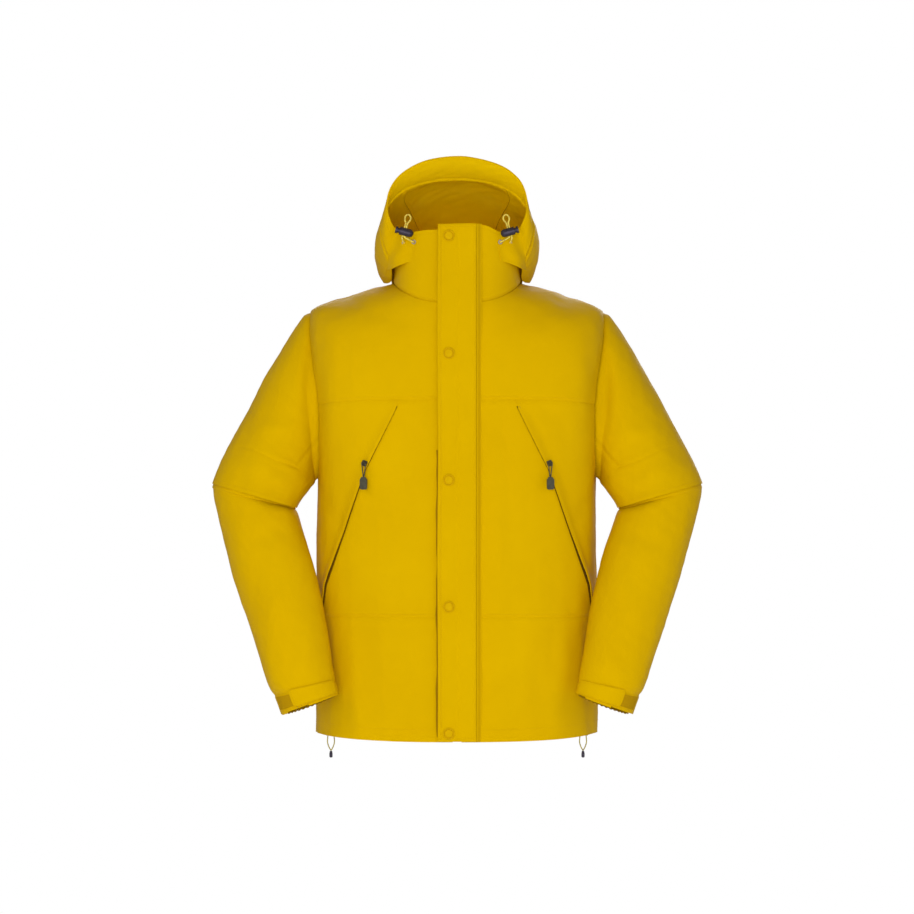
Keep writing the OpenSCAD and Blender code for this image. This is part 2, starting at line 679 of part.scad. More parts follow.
/* Sleeves */
around = 20;
module sleeve_tube(rows, inset, thick) {
  function ring(w, depth) = [for (k = [0 : around - 1]) sleeve_point(w, -360 * k / around, depth)];
  tube([for (w = rows) ring(w, inset)], [for (w = rows) ring(w, inset + thick)]);
}
module upper_sleeve() { color(shell_colour) sleeve_tube([0, 1, 2, 3, 3.96], 0, cloth); }
module forearm() { color(shell_colour) sleeve_tube([4.96, 6, 7, 8, 8.98], 0, cloth); }
module cuff_band() { color(shell_colour) sleeve_tube([9, 9.5, 10], 0, cloth + 0.5); }
module cuff_gaiter() { color(lining_colour) sleeve_tube([9.1, 9.5, 9.95], 6, 1.6); }

// The adjuster tab lies on the front of the cuff, sewn at its inner end.
tab_from = 150;
tab_to = 62;
module cuff_tab() {
  function grid(depth) = [
    for (w = [9.05, 9.4, 9.75]) [for (j = [0 : 6]) sleeve_point(w, lerp(tab_from, tab_to, j / 6), depth)]
  ];
  color(shell_colour) panel(grid(-0.5), grid(-2.7));
}

on_side("right") front_yoke();  // front_yoke_right
on_side("left") front_yoke();  // front_yoke_left
on_side("right") front_panel();  // front_panel_right
on_side("left") front_panel();  // front_panel_left
on_side("right") side_panel();  // side_panel_right
on_side("left") side_panel();  // side_panel_left
on_side("right") front_hem();  // front_hem_right
on_side("left") front_hem();  // front_hem_left
back_yoke();
back_panel();
body_lining();
on_side("right") pocket_bag();  // pocket_bag_right
on_side("left") pocket_bag();  // pocket_bag_left
on_side("right") collar_half();  // collar_right
on_side("left") collar_half();  // collar_left
collar_lining();
hanger_loop();
zip_tapes();
zip_chain();
zip_end_stops();
main_slider();
main_pull();
flap_seam_strip();
storm_flap();
snap_caps();
snap_sockets();
snap_studs();
on_side("right") pocket_zip();  // pocket_zip_right
on_side("left") pocket_zip();  // pocket_zip_left
on_side("right") pocket_slider();  // pocket_slider_right
on_side("left") pocket_slider();  // pocket_slider_left
on_side("right") pocket_pull();  // pocket_pull_right
on_side("left") pocket_pull();  // pocket_pull_left
hood_centre_panel();
on_side("right") hood_side();  // hood_side_right
on_side("left") hood_side();  // hood_side_left
hood_brim();
on_side("right") hood_cord();  // hood_cord_right
on_side("left") hood_cord();  // hood_cord_left
hood_eyelets();
on_side("right") cord_lock();  // cord_lock_right
on_side("left") cord_lock();  // cord_lock_left
on_side("right") cord_lock_button();  // cord_lock_button_right
on_side("left") cord_lock_button();  // cord_lock_button_left
on_side("right") hem_cord_loop();  // hem_cord_loop_right
on_side("left") hem_cord_loop();  // hem_cord_loop_left
on_side("right") hem_cord_end();  // hem_cord_end_right
on_side("left") hem_cord_end();  // hem_cord_end_left
hem_eyelets();
on_side("right") upper_sleeve();  // upper_sleeve_right
on_side("left") upper_sleeve();  // upper_sleeve_left
on_side("right") forearm();  // forearm_right
on_side("left") forearm();  // forearm_left
on_side("right") cuff_band();  // cuff_band_right
on_side("left") cuff_band();  // cuff_band_left
on_side("right") cuff_gaiter();  // cuff_gaiter_right
on_side("left") cuff_gaiter();  // cuff_gaiter_left
on_side("right") cuff_tab();  // cuff_tab_right
on_side("left") cuff_tab();  // cuff_tab_left
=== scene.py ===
import math

import bpy
import numpy as np
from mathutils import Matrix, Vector


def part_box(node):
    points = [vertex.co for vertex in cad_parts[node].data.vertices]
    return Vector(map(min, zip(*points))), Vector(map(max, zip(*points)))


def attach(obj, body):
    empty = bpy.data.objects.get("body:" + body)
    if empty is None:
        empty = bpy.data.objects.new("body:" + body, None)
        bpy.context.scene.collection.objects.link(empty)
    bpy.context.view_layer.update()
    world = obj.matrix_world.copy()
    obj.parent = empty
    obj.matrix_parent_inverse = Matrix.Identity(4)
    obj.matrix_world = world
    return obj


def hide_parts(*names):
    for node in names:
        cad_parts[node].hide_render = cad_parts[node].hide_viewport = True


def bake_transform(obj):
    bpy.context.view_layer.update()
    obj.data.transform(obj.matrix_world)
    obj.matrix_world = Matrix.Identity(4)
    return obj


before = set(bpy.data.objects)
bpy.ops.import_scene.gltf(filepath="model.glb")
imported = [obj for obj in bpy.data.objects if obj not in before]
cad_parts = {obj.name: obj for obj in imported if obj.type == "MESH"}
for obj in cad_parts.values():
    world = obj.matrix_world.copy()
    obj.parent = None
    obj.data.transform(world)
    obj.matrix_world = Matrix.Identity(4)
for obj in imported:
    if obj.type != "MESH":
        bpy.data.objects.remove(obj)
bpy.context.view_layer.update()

MM = 0.001
SIDES = (("right", -1), ("left", 1))


def low(node):
    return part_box(node)[0] / MM


def high(node):
    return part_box(node)[1] / MM


def add_object(name, data):
    obj = bpy.data.objects.new(name, data)
    bpy.context.scene.collection.objects.link(obj)
    return obj


def place(obj, body, nodes=()):
    """Sets a piece on its body, in place of the frame's own nodes."""
    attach(obj, body)
    if nodes:
        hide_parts(*nodes)


# ---------------------------------------------------------------- camera
# The camera stands square in front of the jacket, at the height of its middle.
PICTURE_WIDTH = 1.462
SENSOR_WIDTH = 36
CAMERA_DISTANCE = 18.0
CAMERA_HEIGHT = -0.296
FRONT_PLANE = -0.16
camera_data = bpy.data.cameras.new("camera")
camera_data.sensor_width = SENSOR_WIDTH
camera_data.lens = SENSOR_WIDTH * CAMERA_DISTANCE / PICTURE_WIDTH
camera = add_object("camera", camera_data)
camera.location = (0.0, FRONT_PLANE - CAMERA_DISTANCE, CAMERA_HEIGHT)
camera.rotation_euler = (math.radians(90), 0, 0)
bpy.context.scene.camera = camera

# ---------------------------------------------------------------- shape of the body, in millimetres
# The same rings as the frame's panels, worked out from the frame's own nodes.
BODY_HALF = high("front_hem_left").x
FRONT_Y = low("front_panel_left").y
HEM_Z = low("front_hem_left").z
WAIST_Z = high("front_hem_left").z
NECK_HALF = high("collar_left").x
COLLAR_TOP = high("collar_left").z
SHOULDER_HALF = high("back_yoke").x
PLACKET_X = 7

# Rings from hem to neck: front z, side x, side y, side z, back y, back z, squareness.
RINGS = np.array([
    [HEM_Z, BODY_HALF, -62, HEM_Z + 14, 68, HEM_Z + 4, 2.7],
    [HEM_Z + 60, BODY_HALF, -62, HEM_Z + 66, 67, HEM_Z + 62, 2.7],
    [WAIST_Z, BODY_HALF - 2, -62, WAIST_Z, 60, WAIST_Z, 2.7],
    [-430, BODY_HALF - 2.5, -62, -432, 63, -432, 2.9],
    [-330, BODY_HALF - 3, -62, -330, 70, -330, 3.4],
    [-204, BODY_HALF, -60, -216, 72, -200, 4.2],
    [-124, SHOULDER_HALF, -58, -64, 58, -92, 3.2],
    [-84, 170, -60, -38, 34, -42, 2.6],
    [-50, NECK_HALF, -80, -18, 12, 4, 2.6],
])
WAIST, ARMPIT, YOKE, SHOULDER, NECK = 2, 4, 5, 6, 8
ARMHOLE_DEPTH = 62
POCKET_SEAM = np.array([[-552, 221], [-500, 213], [-317, 150], [-204, 94]])

# The shoulder's top, x and z: cloth falls no higher than this line.
SHOULDER_LINE = np.array([
    [100, -12], [120, -19], [147, -27.5], [171, -35.5], [195, -43.5], [219, -52], [243, -66]])

COLLAR_RINGS = np.array([
    [-50, NECK_HALF, -80, -18, 12, 4, 2.6],
    [10, 100, -82, 18, 9, 34, 3.0],
    [COLLAR_TOP, 97, -84, 58, 4, 58, 3.2],
])

# Rings from shoulder to cuff: outer x, outer z, inner x, inner z, centre y, half depth.
SLEEVE_RINGS = np.array([
    [244, -66, 228, -332, -60, 60],
    [273, -107, 229, -336, -62, 64],
    [328, -205, 231, -340, -68, 66],
    [361, -266, 237, -348, -77, 66],
    [392, -334, 256, -376, -88, 64],
    [391, -360, 254, -388, -92, 62],
    [366, -464, 233, -460, -118, 56],
    [335, -557, 211, -549, -142, 50],
    [305, -651, 198, -634, -162, 42],
    [292, -678, 194, -655, -168, 38],
    [281, -707, 189, -673, -173, 36],
])

# Arches from brim to neck: edge point, edge handle, crown handle x, crown y, crown z.
HOOD_ARCHES = np.array([
    [97, -152, 66, 136, -170, 122, 100, -192, 184],
    [105, -136, 12, 152, -146, 96, 98, -112, 151],
    [106, -96, -14, 176, -94, 42, 98, -60, 148],
    [118, -48, -14, 150, -30, 44, 80, 14, 114],
    [92, 2, 4, 108, 38, 24, 56, 52, 62],
    [56, 26, 14, 46, 32, 16, 28, 35, 16],
])
HOOD_SPLIT = 2 / 3
HOOD_CENTRE = (0, -70, 50)


def keys_at(keys, v):
    """Catmull-Rom through the keys, at each v from 0 to the last key's number."""
    v = np.clip(np.asarray(v, float), 0, len(keys) - 1)
    i = np.minimum(v.astype(int), len(keys) - 2)
    t = (v - i)[..., None]
    a, b = keys[i], keys[i + 1]
    before = keys[np.maximum(i - 1, 0)]
    after = keys[np.minimum(i + 2, len(keys) - 1)]
    m0, m1 = (b - before) / 2, (after - a) / 2
    return ((2 * t**3 - 3 * t**2 + 1) * a + (t**3 - 2 * t**2 + t) * m0
            + (3 * t**2 - 2 * t**3) * b + (t**3 - t**2) * m1)


def ring_point(keys, v, degrees, inset=0.0):
    """A point on a ring round the body or collar: 0 degrees is the centre front, 180 the centre back."""
    k = keys_at(keys, v)
    s, c = np.abs(np.sin(np.radians(degrees))), np.abs(np.cos(np.radians(degrees)))
    n = k[..., 6]
    r = (s**n + c**n) ** (-1 / n)
    front = np.asarray(degrees) <= 90
    reach = np.where(front, FRONT_Y + inset - k[..., 2], k[..., 4] - inset - k[..., 2])
    fall = np.where(front, k[..., 0] - k[..., 3], k[..., 5] - k[..., 3])
    p = np.stack([(k[..., 1] - inset) * r * s, k[..., 2] + reach * r * c,
                  k[..., 3] + fall * (r * c) ** 2], axis=-1)
    if keys is RINGS:  # the shoulder swells a little, and is then held down softly to its line
        p[..., 2] += 4.5 * np.exp(-((p[..., 0] - 145) / 28) ** 2) * np.clip((p[..., 2] + 105) / 40, 0, 1)
        over = p[..., 2] - np.interp(p[..., 0], SHOULDER_LINE[:, 0], SHOULDER_LINE[:, 1])
        p[..., 2] -= (over + np.sqrt(over ** 2 + 4)) / 2
    return p


def sleeve_point(w, degrees, inset=0.0):
    k = keys_at(SLEEVE_RINGS, w)
    outer = np.stack([k[..., 0], k[..., 4], k[..., 1]], axis=-1)
    inner = np.stack([k[..., 2], k[..., 4], k[..., 3]], axis=-1)
    half = (outer - inner) / 2
    grip = 1 - np.asarray(inset) / np.linalg.norm(half, axis=-1)
    a = np.radians(degrees)
    p = (outer + inner) / 2 + half * (grip * np.cos(a))[..., None]
    p[..., 1] -= (k[..., 5] - inset) * np.sin(a)
    return p


def bezier(a, b, c, d, t):
    return a * (1 - t)**3 + 3 * b * t * (1 - t)**2 + 3 * c * t**2 * (1 - t) + d * t**3


def hood_point(v, t, inset=0.0):
    """A point on a hood arch: t is 0 at the face's edge or hem and 1 at the crown."""
    k = keys_at(HOOD_ARCHES, v)
    zero = 0 * k[..., 7]
    crown = np.stack([zero, k[..., 7], k[..., 8]], axis=-1)
    side = crown + np.stack([k[..., 6], zero, zero], axis=-1)
    p = bezier(k[..., 0:3], k[..., 3:6], side, crown, np.asarray(t, float)[..., None])
    out = p - np.array(HOOD_CENTRE)
    return p - out / np.linalg.norm(out, axis=-1, keepdims=True) * np.asarray(inset)[..., None]


def angle_of_x(keys, v, x):
    k = keys_at(keys, v)
    s = np.minimum(1, x / k[..., 1])
    return np.degrees(np.arctan2(s, (1 - s ** k[..., 6]) ** (1 / k[..., 6])))


def angle_of_depth(v, h, reach):
    n = keys_at(RINGS, v)[..., 6]
    c = np.minimum(1, h / reach)
    return np.degrees(np.arctan2((1 - c**n) ** (1 / n), c))


def armhole_half(v):
    u = 2 * (np.asarray(v, float) - ARMPIT) / (SHOULDER - ARMPIT) - 1
    return ARMHOLE_DEPTH * np.sqrt(np.clip(1 - u**2, 0, 1))


def front_side_angle(v):
    return angle_of_depth(v, armhole_half(v), keys_at(RINGS, v)[..., 2] - FRONT_Y)


def back_side_angle(v):
    k = keys_at(RINGS, v)
    return 180 - angle_of_depth(v, armhole_half(v), k[..., 4] - k[..., 2])


def placket_angle(v):
    return angle_of_x(RINGS, v, PLACKET_X)


def pocket_x(z):
    return np.interp(z, POCKET_SEAM[:, 0], POCKET_SEAM[:, 1])


def under_lip_angle(v):
    """The front panel's side edge, just past the pocket's seam."""
    return angle_of_x(RINGS, v, pocket_x(keys_at(RINGS, v)[..., 0])) + 1.2


def flank_angle(v):
    return np.full(len(v), 90.0)


# ---------------------------------------------------------------- folds and drape, in millimetres
def ripple(p, wavelength, seed, stretch=(1, 1, 1), count=9):
    """A smooth random field of about that wavelength, from -1 to 1; stretch lengthens it along an axis."""
    rng = np.random.default_rng(seed)
    q = p / np.array(stretch, float)
    total = np.zeros(p.shape[:-1])
    for _ in range(count):
        k = rng.normal(size=3)
        k *= 2 * math.pi / (wavelength * rng.uniform(0.7, 1.6)) / np.linalg.norm(k)
        total += np.sin(q @ k + rng.uniform(0, 2 * math.pi))
    return total / math.sqrt(count) / 1.4


def fold(p, start, end, width, height):
    """A soft ridge, or with a negative height a valley, from start to end, fading towards both."""
    start, end = np.array(start, float), np.array(end, float)
    d = end - start
    t = np.clip(((p - start) @ d) / (d @ d), 0, 1)
    off = np.linalg.norm(p - start - t[..., None] * d, axis=-1)
    return height * np.exp(-(off / width) ** 2) * np.sin(math.pi * np.clip(t * 0.9 + 0.05, 0, 1)) ** 0.7


def mirrored(p, sign):
    return p * np.array([sign, 1, 1])


# Start, end, width and height, for the wearer's left; the right side gets its own small shifts.
BODY_FOLDS = [
    ((206, -128, -300), (128, -176, -196), 15, -2.6),
    ((222, -90, -318), (186, -150, -402), 13, -2.2),
    ((176, -158, -560), (158, -165, -740), 17, 3.0),
    ((120, -176, -500), (108, -176, -735), 22, 2.4),
    ((205, -125, -540), (212, -112, -730), 13, -2.8),
    ((74, -178, -330), (62, -178, -620), 24, 1.8),
    ((212, -100, -96), (150, -140, -150), 18, -2.2),
    ((196, -150, -120), (196, -148, -250), 14, 2.0),
    ((150, -150, -92), (96, -165, -150), 16, 1.6),
    ((60, -178, -230), (84, -177, -420), 20, -1.8),
    # back
    ((214, 10, -300), (120, 66, -230), 18, 3.0),
    ((200, 30, -340), (110, 66, -420), 20, -3.0),
    ((90, 66, -260), (70, 62, -560), 26, 3.0),
    ((150, 55, -430), (160, 50, -720), 22, -3.4),
    ((40, 66, -520), (55, 66, -740), 24, 3.0),
    ((60, 40, -60), (170, 52, -130), 18, -2.0),
]


def with_folds(d, p, sign, folds, start_shift, end_shift):
    """Adds folds to a drape; on the wearer's right their ends lie a little higher or lower."""
    q = mirrored(p, sign)
    if sign > 0:
        start_shift = end_shift = 0.0
    for start, end, width, height in folds:
        d = d + fold(q, np.array(start) + (0, 0, start_shift), np.array(end) + (0, 0, end_shift), width, height)
    return d


def body_drape(p, sign):
    d = 1.5 * ripple(p, 95, 3, (1, 1, 2.6)) + 0.45 * ripple(p, 30, 5, (1, 1, 1.8))
    d = with_folds(d + 0.10 * ripple(p, 9, 7, count=14), p, sign, BODY_FOLDS, 9.0, -9.0)
    near_hem = 1 - np.clip((p[..., 2] - (HEM_Z - 2)) / 120, 0, 1)
    return d + near_hem ** 2 * 2.2 * np.sin(sign * p[..., 0] / 21 + 0.8 * sign)


SLEEVE_FOLDS = [
    ((236, -118, -120), (238, -118, -250), 12, -4.5),
    ((246, -122, -262), (330, -140, -250), 14, 2.6),
    ((240, -110, -300), (300, -146, -330), 12, -2.6),
    ((264, -150, -350), (352, -150, -300), 13, 2.6),
    ((372, -120, -300), (330, -140, -230), 16, -2.2),
    ((262, -150, -410), (330, -165, -440), 15, -3.0),
    ((372, -120, -390), (318, -165, -470), 16, 2.6),
    ((236, -160, -470), (300, -180, -560), 17, 2.4),
    ((330, -150, -520), (268, -195, -600), 18, -2.4),
    ((222, -180, -590), (262, -208, -650), 12, 2.0),
    ((300, -170, -600), (288, -190, -670), 12, 1.8),
    # behind
    ((250, -10, -220), (330, -20, -300), 16, 3.2),
    ((245, 0, -290), (360, -40, -340), 14, -3.2),
    ((270, -40, -400), (372, -60, -420), 14, 3.4),
    ((240, -80, -500), (340, -90, -470), 18, -3.0),
    ((225, -110, -600), (305, -120, -560), 16, 2.6),
]


def sleeve_drape(p, sign):
    d = 1.3 * ripple(p, 80, 13, (1, 1, 1.8)) + 0.4 * ripple(p, 26, 15) + 0.10 * ripple(p, 9, 17, count=14)
    return with_folds(d, p, sign, SLEEVE_FOLDS, 7.0, 7.0)


def hood_drape(p, sign):
    return 1.3 * ripple(p, 70, 23) + 0.4 * ripple(p, 24, 25) + 0.1 * ripple(p, 9, 27, count=14)


# ---------------------------------------------------------------- meshes
def grid_normals(p, closed=False):
    if closed:
        wrapped = np.concatenate([p[:, -2:-1], p, p[:, 1:2]], axis=1)
        du = np.gradient(wrapped, axis=1)[:, 1:-1]
    else:
        du = np.gradient(p, axis=1)
    dv = np.gradient(p, axis=0)
    n = np.cross(du, dv)
    return n / np.maximum(np.linalg.norm(n, axis=-1, keepdims=True), 1e-9)


def unit(p):
    return p / np.linalg.norm(p, axis=-1, keepdims=True)


def run_lengths(p, axis):
    """Distance along the points of each row (axis 1) or column (axis 0) from its first point."""
    step = np.linalg.norm(np.diff(p, axis=axis), axis=-1)
    zero = np.zeros([1 if i == axis else s for i, s in enumerate(step.shape)])
    return np.concatenate([zero, np.cumsum(step, axis=axis)], axis=axis)


def edge_gaps(p):
    """Distance along the cloth to each edge: start and end are columns, first and last are rows."""
    along, down = run_lengths(p, 1), run_lengths(p, 0)
    return {"start": along, "end": along[:, -1:] - along, "last": down[-1:] - down, "first": down}


def outward(p, centre, closed=False):
    """A grid's normals, turned to point away from the centre."""
    n = grid_normals(p, closed)
    return n if ((p - np.array(centre, float)) * n).sum() > 0 else -n


def tube_outward(p):
    return outward(p, p[:, :-1].mean(axis=1, keepdims=True), closed=True)


def new_object(name, verts, faces, corners=None):
    """A smooth mesh, in millimetres; corners are the places on the cloth of each face's corners, in order."""
    mesh = bpy.data.meshes.new(name)
    mesh.from_pydata((np.asarray(verts) * MM).tolist(), [], faces)
    mesh.update()
    if corners is not None:
        layer = mesh.uv_layers.new(name="weave")
        layer.data.foreach_set("uv", (corners * MM).astype(np.float32).ravel())
    mesh.polygons.foreach_set("use_smooth", [True] * len(mesh.polygons))
    return add_object(name, mesh)


def shell(name, p, n, thick, cover, inner=None, closed=False):
    """A closed piece of cloth: an outer grid of points, and the same grid pushed in by its thickness.
    With closed, the grid's last column repeats its first, and the piece is a sleeve."""
    m, k = p.shape[:2]
    total = m * k
    index = np.arange(total).reshape(m, k)
    quads = np.stack([index[:-1, :-1], index[:-1, 1:], index[1:, 1:], index[1:, :-1]], axis=-1).reshape(-1, 4)
    facing = np.cross(p[:-1, 1:] - p[:-1, :-1], p[1:, :-1] - p[:-1, :-1])
    flip = (facing * n[:-1, :-1]).sum() < 0
    rims = [index[0], index[-1][::-1]] + ([] if closed else [index[:, 0][::-1], index[:, -1]])
    faces = [quads, quads[:, ::-1] + total]
    faces += [np.stack([line[1:], line[:-1], line[:-1] + total, line[1:] + total], axis=-1) for line in rims]
    faces = np.concatenate(faces)
    if flip:
        faces = faces[:, ::-1]
    flat = np.stack([run_lengths(p, 1), run_lengths(p, 0)], axis=-1).reshape(-1, 2)
    corners = np.concatenate([flat, flat])[faces].reshape(-1, 2)
    if closed:
        shared = np.arange(2 * total)
        for layer in (0, total):
            shared[index[:, -1] + layer] = index[:, 0] + layer
        used, renumbered = np.unique(shared[faces], return_inverse=True)
        faces = renumbered.reshape(faces.shape)
    verts = np.concatenate([p.reshape(-1, 3), (p - n * thick).reshape(-1, 3)])
    obj = new_object(name, verts[used] if closed else verts, faces.tolist(), corners)
    obj.data.set_sharp_from_angle(angle=math.radians(55))
    obj.data.materials.append(cover)
    if inner is not None and inner is not cover:
        obj.data.materials.append(inner)
        which = np.zeros(len(faces), int)
        which[len(quads):2 * len(quads)] = 1
        obj.data.polygons.foreach_set("material_index", which)
    return obj


def piece(name, p, centre, thick, cover, body, nodes=(), inner=None):
    """A closed piece of cloth from a grid, set on its body; its normals come back."""
    n = outward(p, centre)
    place(shell(name, p, n, thick, cover, inner or cover), body, nodes)
    return n


def seam_groove(p, edges, depth=1.3, width=3.2):
    """How far a panel's surface turns in towards the seams along its edges."""
    gap = edge_gaps(p)
    total = np.zeros(p.shape[:2])
    for edge in edges:
        d = gap[edge]
        pucker = 1 + 0.22 * np.sin(gap["first" if edge in ("start", "end") else "start"] / 1.9)
        total -= depth * np.exp(-(d / width) ** 2) * pucker
        total += 0.45 * np.exp(-((d - 7) / 3.0) ** 2)
    return total


# ---------------------------------------------------------------- materials
def feed(socket, value):
    """Links a node's output to a socket, or sets a plain number or colour on it."""
    if isinstance(value, bpy.types.NodeSocket):
        socket.id_data.links.new(value, socket)
    else:
        socket.default_value = (*value, 1) if isinstance(value, tuple) else value


def add_node(tree, kind, sockets, output=0, **settings):
    """Adds a node, feeds its sockets, and gives one of its outputs."""
    node = tree.nodes.new(kind)
    for key, value in settings.items():
        setattr(node, key, value)
    for key, value in sockets.items():
        feed(node.inputs[key], value)
    return node.outputs[output]


def noise(at, scale, detail=3.0):
    return add_node(at.id_data, "ShaderNodeTexNoise", {"Vector": at, "Scale": scale, "Detail": detail}, "Fac")


def wave(at, direction, pitch, distortion):
    """Bands a pitch apart, in metres."""
    sockets = {"Vector": at, "Scale": math.pi / 10 / pitch, "Distortion": distortion}
    return add_node(at.id_data, "ShaderNodeTexWave", sockets, "Fac", bands_direction=direction)


def spread(value, low_value, high_value):
    """Maps a noise's middle range onto low_value to high_value."""
    sockets = {"Value": value, "From Min": 0.3, "From Max": 0.7, "To Min": low_value, "To Max": high_value}
    return add_node(value.id_data, "ShaderNodeMapRange", sockets, "Result")


def mixed(factor, a, b):
    return add_node(factor.id_data, "ShaderNodeMix", {0: factor, 6: a, 7: b}, 2, data_type="RGBA")


def maths(operation, a, b):
    tree = (a if isinstance(a, bpy.types.NodeSocket) else b).id_data
    return add_node(tree, "ShaderNodeMath", {0: a, 1: b}, operation=operation)


def bump(height, distance, sockets):
    sockets = {"Height": height, "Distance": distance, **sockets}
    return add_node(height.id_data, "ShaderNodeBump", sockets, "Normal")


def tinted(colour, share, more=0.0):
    return tuple(min(1.0, share * c + more) for c in colour)


def material(name, colour, roughness, sheen=0.0, specular=0.35, metallic=0.0, tint=False):
    """A Principled material, with its shader's sockets and its texture coordinates."""
    mat = bpy.data.materials.new(name)
    mat.use_nodes = True
    inputs = mat.node_tree.nodes["Principled BSDF"].inputs
    sockets = {"Base Color": colour, "Roughness": roughness, "Specular IOR Level": specular,
               "Metallic": metallic, "Sheen Weight": sheen, "Sheen Roughness": 0.45}
    if tint:
        sockets["Specular Tint"] = sockets["Sheen Tint"] = tinted(colour, 1 / max(colour))
    for key, value in sockets.items():
        feed(inputs[key], value)
    return mat, inputs, mat.node_tree.nodes.new("ShaderNodeTexCoord").outputs


def cloth(name, colour, shade, roughness, sheen, period=0.0009, crinkle=0.00022, grain=0.07):
    """Woven cloth: thread bump, slubs, soft handling creases, and drifts of colour between two shades."""
    mat, inputs, coords = material(name, colour, roughness, sheen, 0.25, tint=True)
    at, uv = coords["Object"], coords["UV"]
    drift = mixed(spread(noise(at, 7.0, 4.0), 0.0, 1.0), shade, colour)
    slubs = mixed(spread(noise(at, 1400.0, 2.0), 0.0, grain), drift, tinted(colour, 0.55))
    weave = maths("MULTIPLY", wave(uv, "X", period, 0.5), wave(uv, "Y", period, 0.5))
    gaps = maths("MULTIPLY", maths("SUBTRACT", 1.0, weave), 0.07)
    feed(inputs["Base Color"], mixed(gaps, slubs, tinted(colour, 0.6)))
    feed(inputs["Roughness"], spread(noise(at, 45.0), roughness - 0.05, roughness + 0.06))
    creases = bump(noise(at, 70.0), crinkle, {"Strength": 1.0})
    feed(inputs["Normal"], bump(weave, 0.00007, {"Strength": 0.6, "Normal": creases}))
    return mat


def moulded(name, colour, roughness, metallic=0.0, gloss=0.5, even=0.5):
    """Moulded plastic or cast metal: fine grain, and cloudy patches that are lighter by even."""
    mat, inputs, coords = material(name, colour, roughness, 0.0, gloss, metallic, tint=metallic == 0.0)
    at = coords["Object"]
    cloud = spread(noise(at, 160.0, 4.0), 0.0, 1.0)
    feed(inputs["Base Color"], mixed(cloud, colour, tinted(colour, 1 + even, 0.006 * even)))
    feed(inputs["Roughness"], spread(noise(at, 300.0), roughness - 0.07, roughness + 0.09))
    feed(inputs["Normal"], bump(noise(at, 900.0), 0.00004, {"Strength": 1.0}))
    return mat


def braided(name, colour, fleck, pitch):
    """Braided cord: a diagonal weave with dark flecks."""
    mat, inputs, coords = material(name, colour, 0.7, sheen=0.2)
    at = coords["Object"]
    feed(inputs["Base Color"], mixed(spread(noise(at, 420.0, 2.0), -0.4, 0.7), colour, fleck))
    feed(inputs["Normal"], bump(wave(at, "DIAGONAL", pitch, 1.2), 0.00025, {"Strength": 0.8}))
    return mat


SHELL = cloth("shell_cloth", (0.665, 0.400, 0.0), (0.630, 0.372, 0.0), 0.60, 0.05)
TRIM = cloth("trim_cloth", (0.660, 0.398, 0.0), (0.625, 0.370, 0.0), 0.60, 0.05, crinkle=0.00014)
# The insides of the collar and hood use the shell's yellow made much brighter: painted light that lifts their
# shade.
INSIDE_PAINTED_LIGHT = cloth("inside_cloth_painted_light", (0.960, 0.620, 0.0), (0.920, 0.580, 0.0), 0.64, 0.04)
LINING = cloth("lining_cloth", (0.600, 0.345, 0.001), (0.540, 0.300, 0.001), 0.66, 0.05, period=0.0014)
GAITER = cloth("gaiter_cloth", (0.440, 0.250, 0.004), (0.170, 0.085, 0.003), 0.66, 0.08, period=0.0014)
# A near-black brown strip laid beside each pocket lip: painted shade of the gap under the lip.
POCKET_GAP_SHADE = cloth("pocket_gap_painted_shade", (0.150, 0.072, 0.003), (0.100, 0.046, 0.002), 0.8, 0.1, grain=0.3)
# Dark brown cloth: on the placket strip partly a rough edge, partly painted shade under the flap's free edge;
# on the hood's gussets painted shade in the slots.
TAPE_AND_PAINTED_SHADE = cloth("dark_tape_and_painted_shade", (0.420, 0.225, 0.004), (0.270, 0.130, 0.003), 0.8, 0.1, grain=0.6)
HOOK = cloth("hook_tape", (0.480, 0.270, 0.002), (0.420, 0.225, 0.002), 0.85, 0.1, period=0.0018, grain=0.3)
WEBBING = cloth("webbing", (0.030, 0.030, 0.034), (0.022, 0.022, 0.026), 0.75, 0.2, period=0.0018)
THREAD = cloth("thread", (0.640, 0.395, 0.003), (0.600, 0.360, 0.003), 0.55, 0.2)
CORD = braided("cord_braid", (0.820, 0.640, 0.080), (0.240, 0.150, 0.020), 0.0012)
HEM_CORD = braided("hem_cord_braid", (0.500, 0.400, 0.060), (0.050, 0.040, 0.010), 0.0010)
PLASTIC = moulded("dark_plastic", (0.014, 0.012, 0.017), 0.42)
PULL = moulded("moulded_pull", (0.040, 0.038, 0.026), 0.55)
ZIP = moulded("zip_teeth", (0.030, 0.024, 0.016), 0.38)
METAL = moulded("antique_metal", (0.110, 0.090, 0.065), 0.40, metallic=1.0)
CAP = moulded("painted_cap", (0.560, 0.335, 0.001), 0.5, gloss=0.28, even=0.1)

# ---------------------------------------------------------------- stitching
stitches = {}


def sew(body, points, normals, pitch=3.7, start=2.0):
    """Notes a row of stitches along a line of points; they are built together at the end."""
    run = run_lengths(points, 0)
    if run[-1] < 2 * start:
        return

    def read(places, values):
        return np.stack([np.interp(places, run, values[:, i]) for i in range(3)], axis=-1)

    places = np.arange(start, run[-1] - start, pitch)
    at = read(places, points)
    stitches.setdefault(body, []).append((at, read(places + 0.5, points) - at, read(places, normals)))


STITCH_LENGTH, STITCH_WIDTH, STITCH_HEIGHT = 2.7, 0.62, 0.42
STITCH_SIDES = 5  # corners of a stitch's round, open below
STITCH_RINGS = ((-0.5, 0.35), (-0.3, 1.0), (0.3, 1.0), (0.5, 0.35))  # place along it, and size


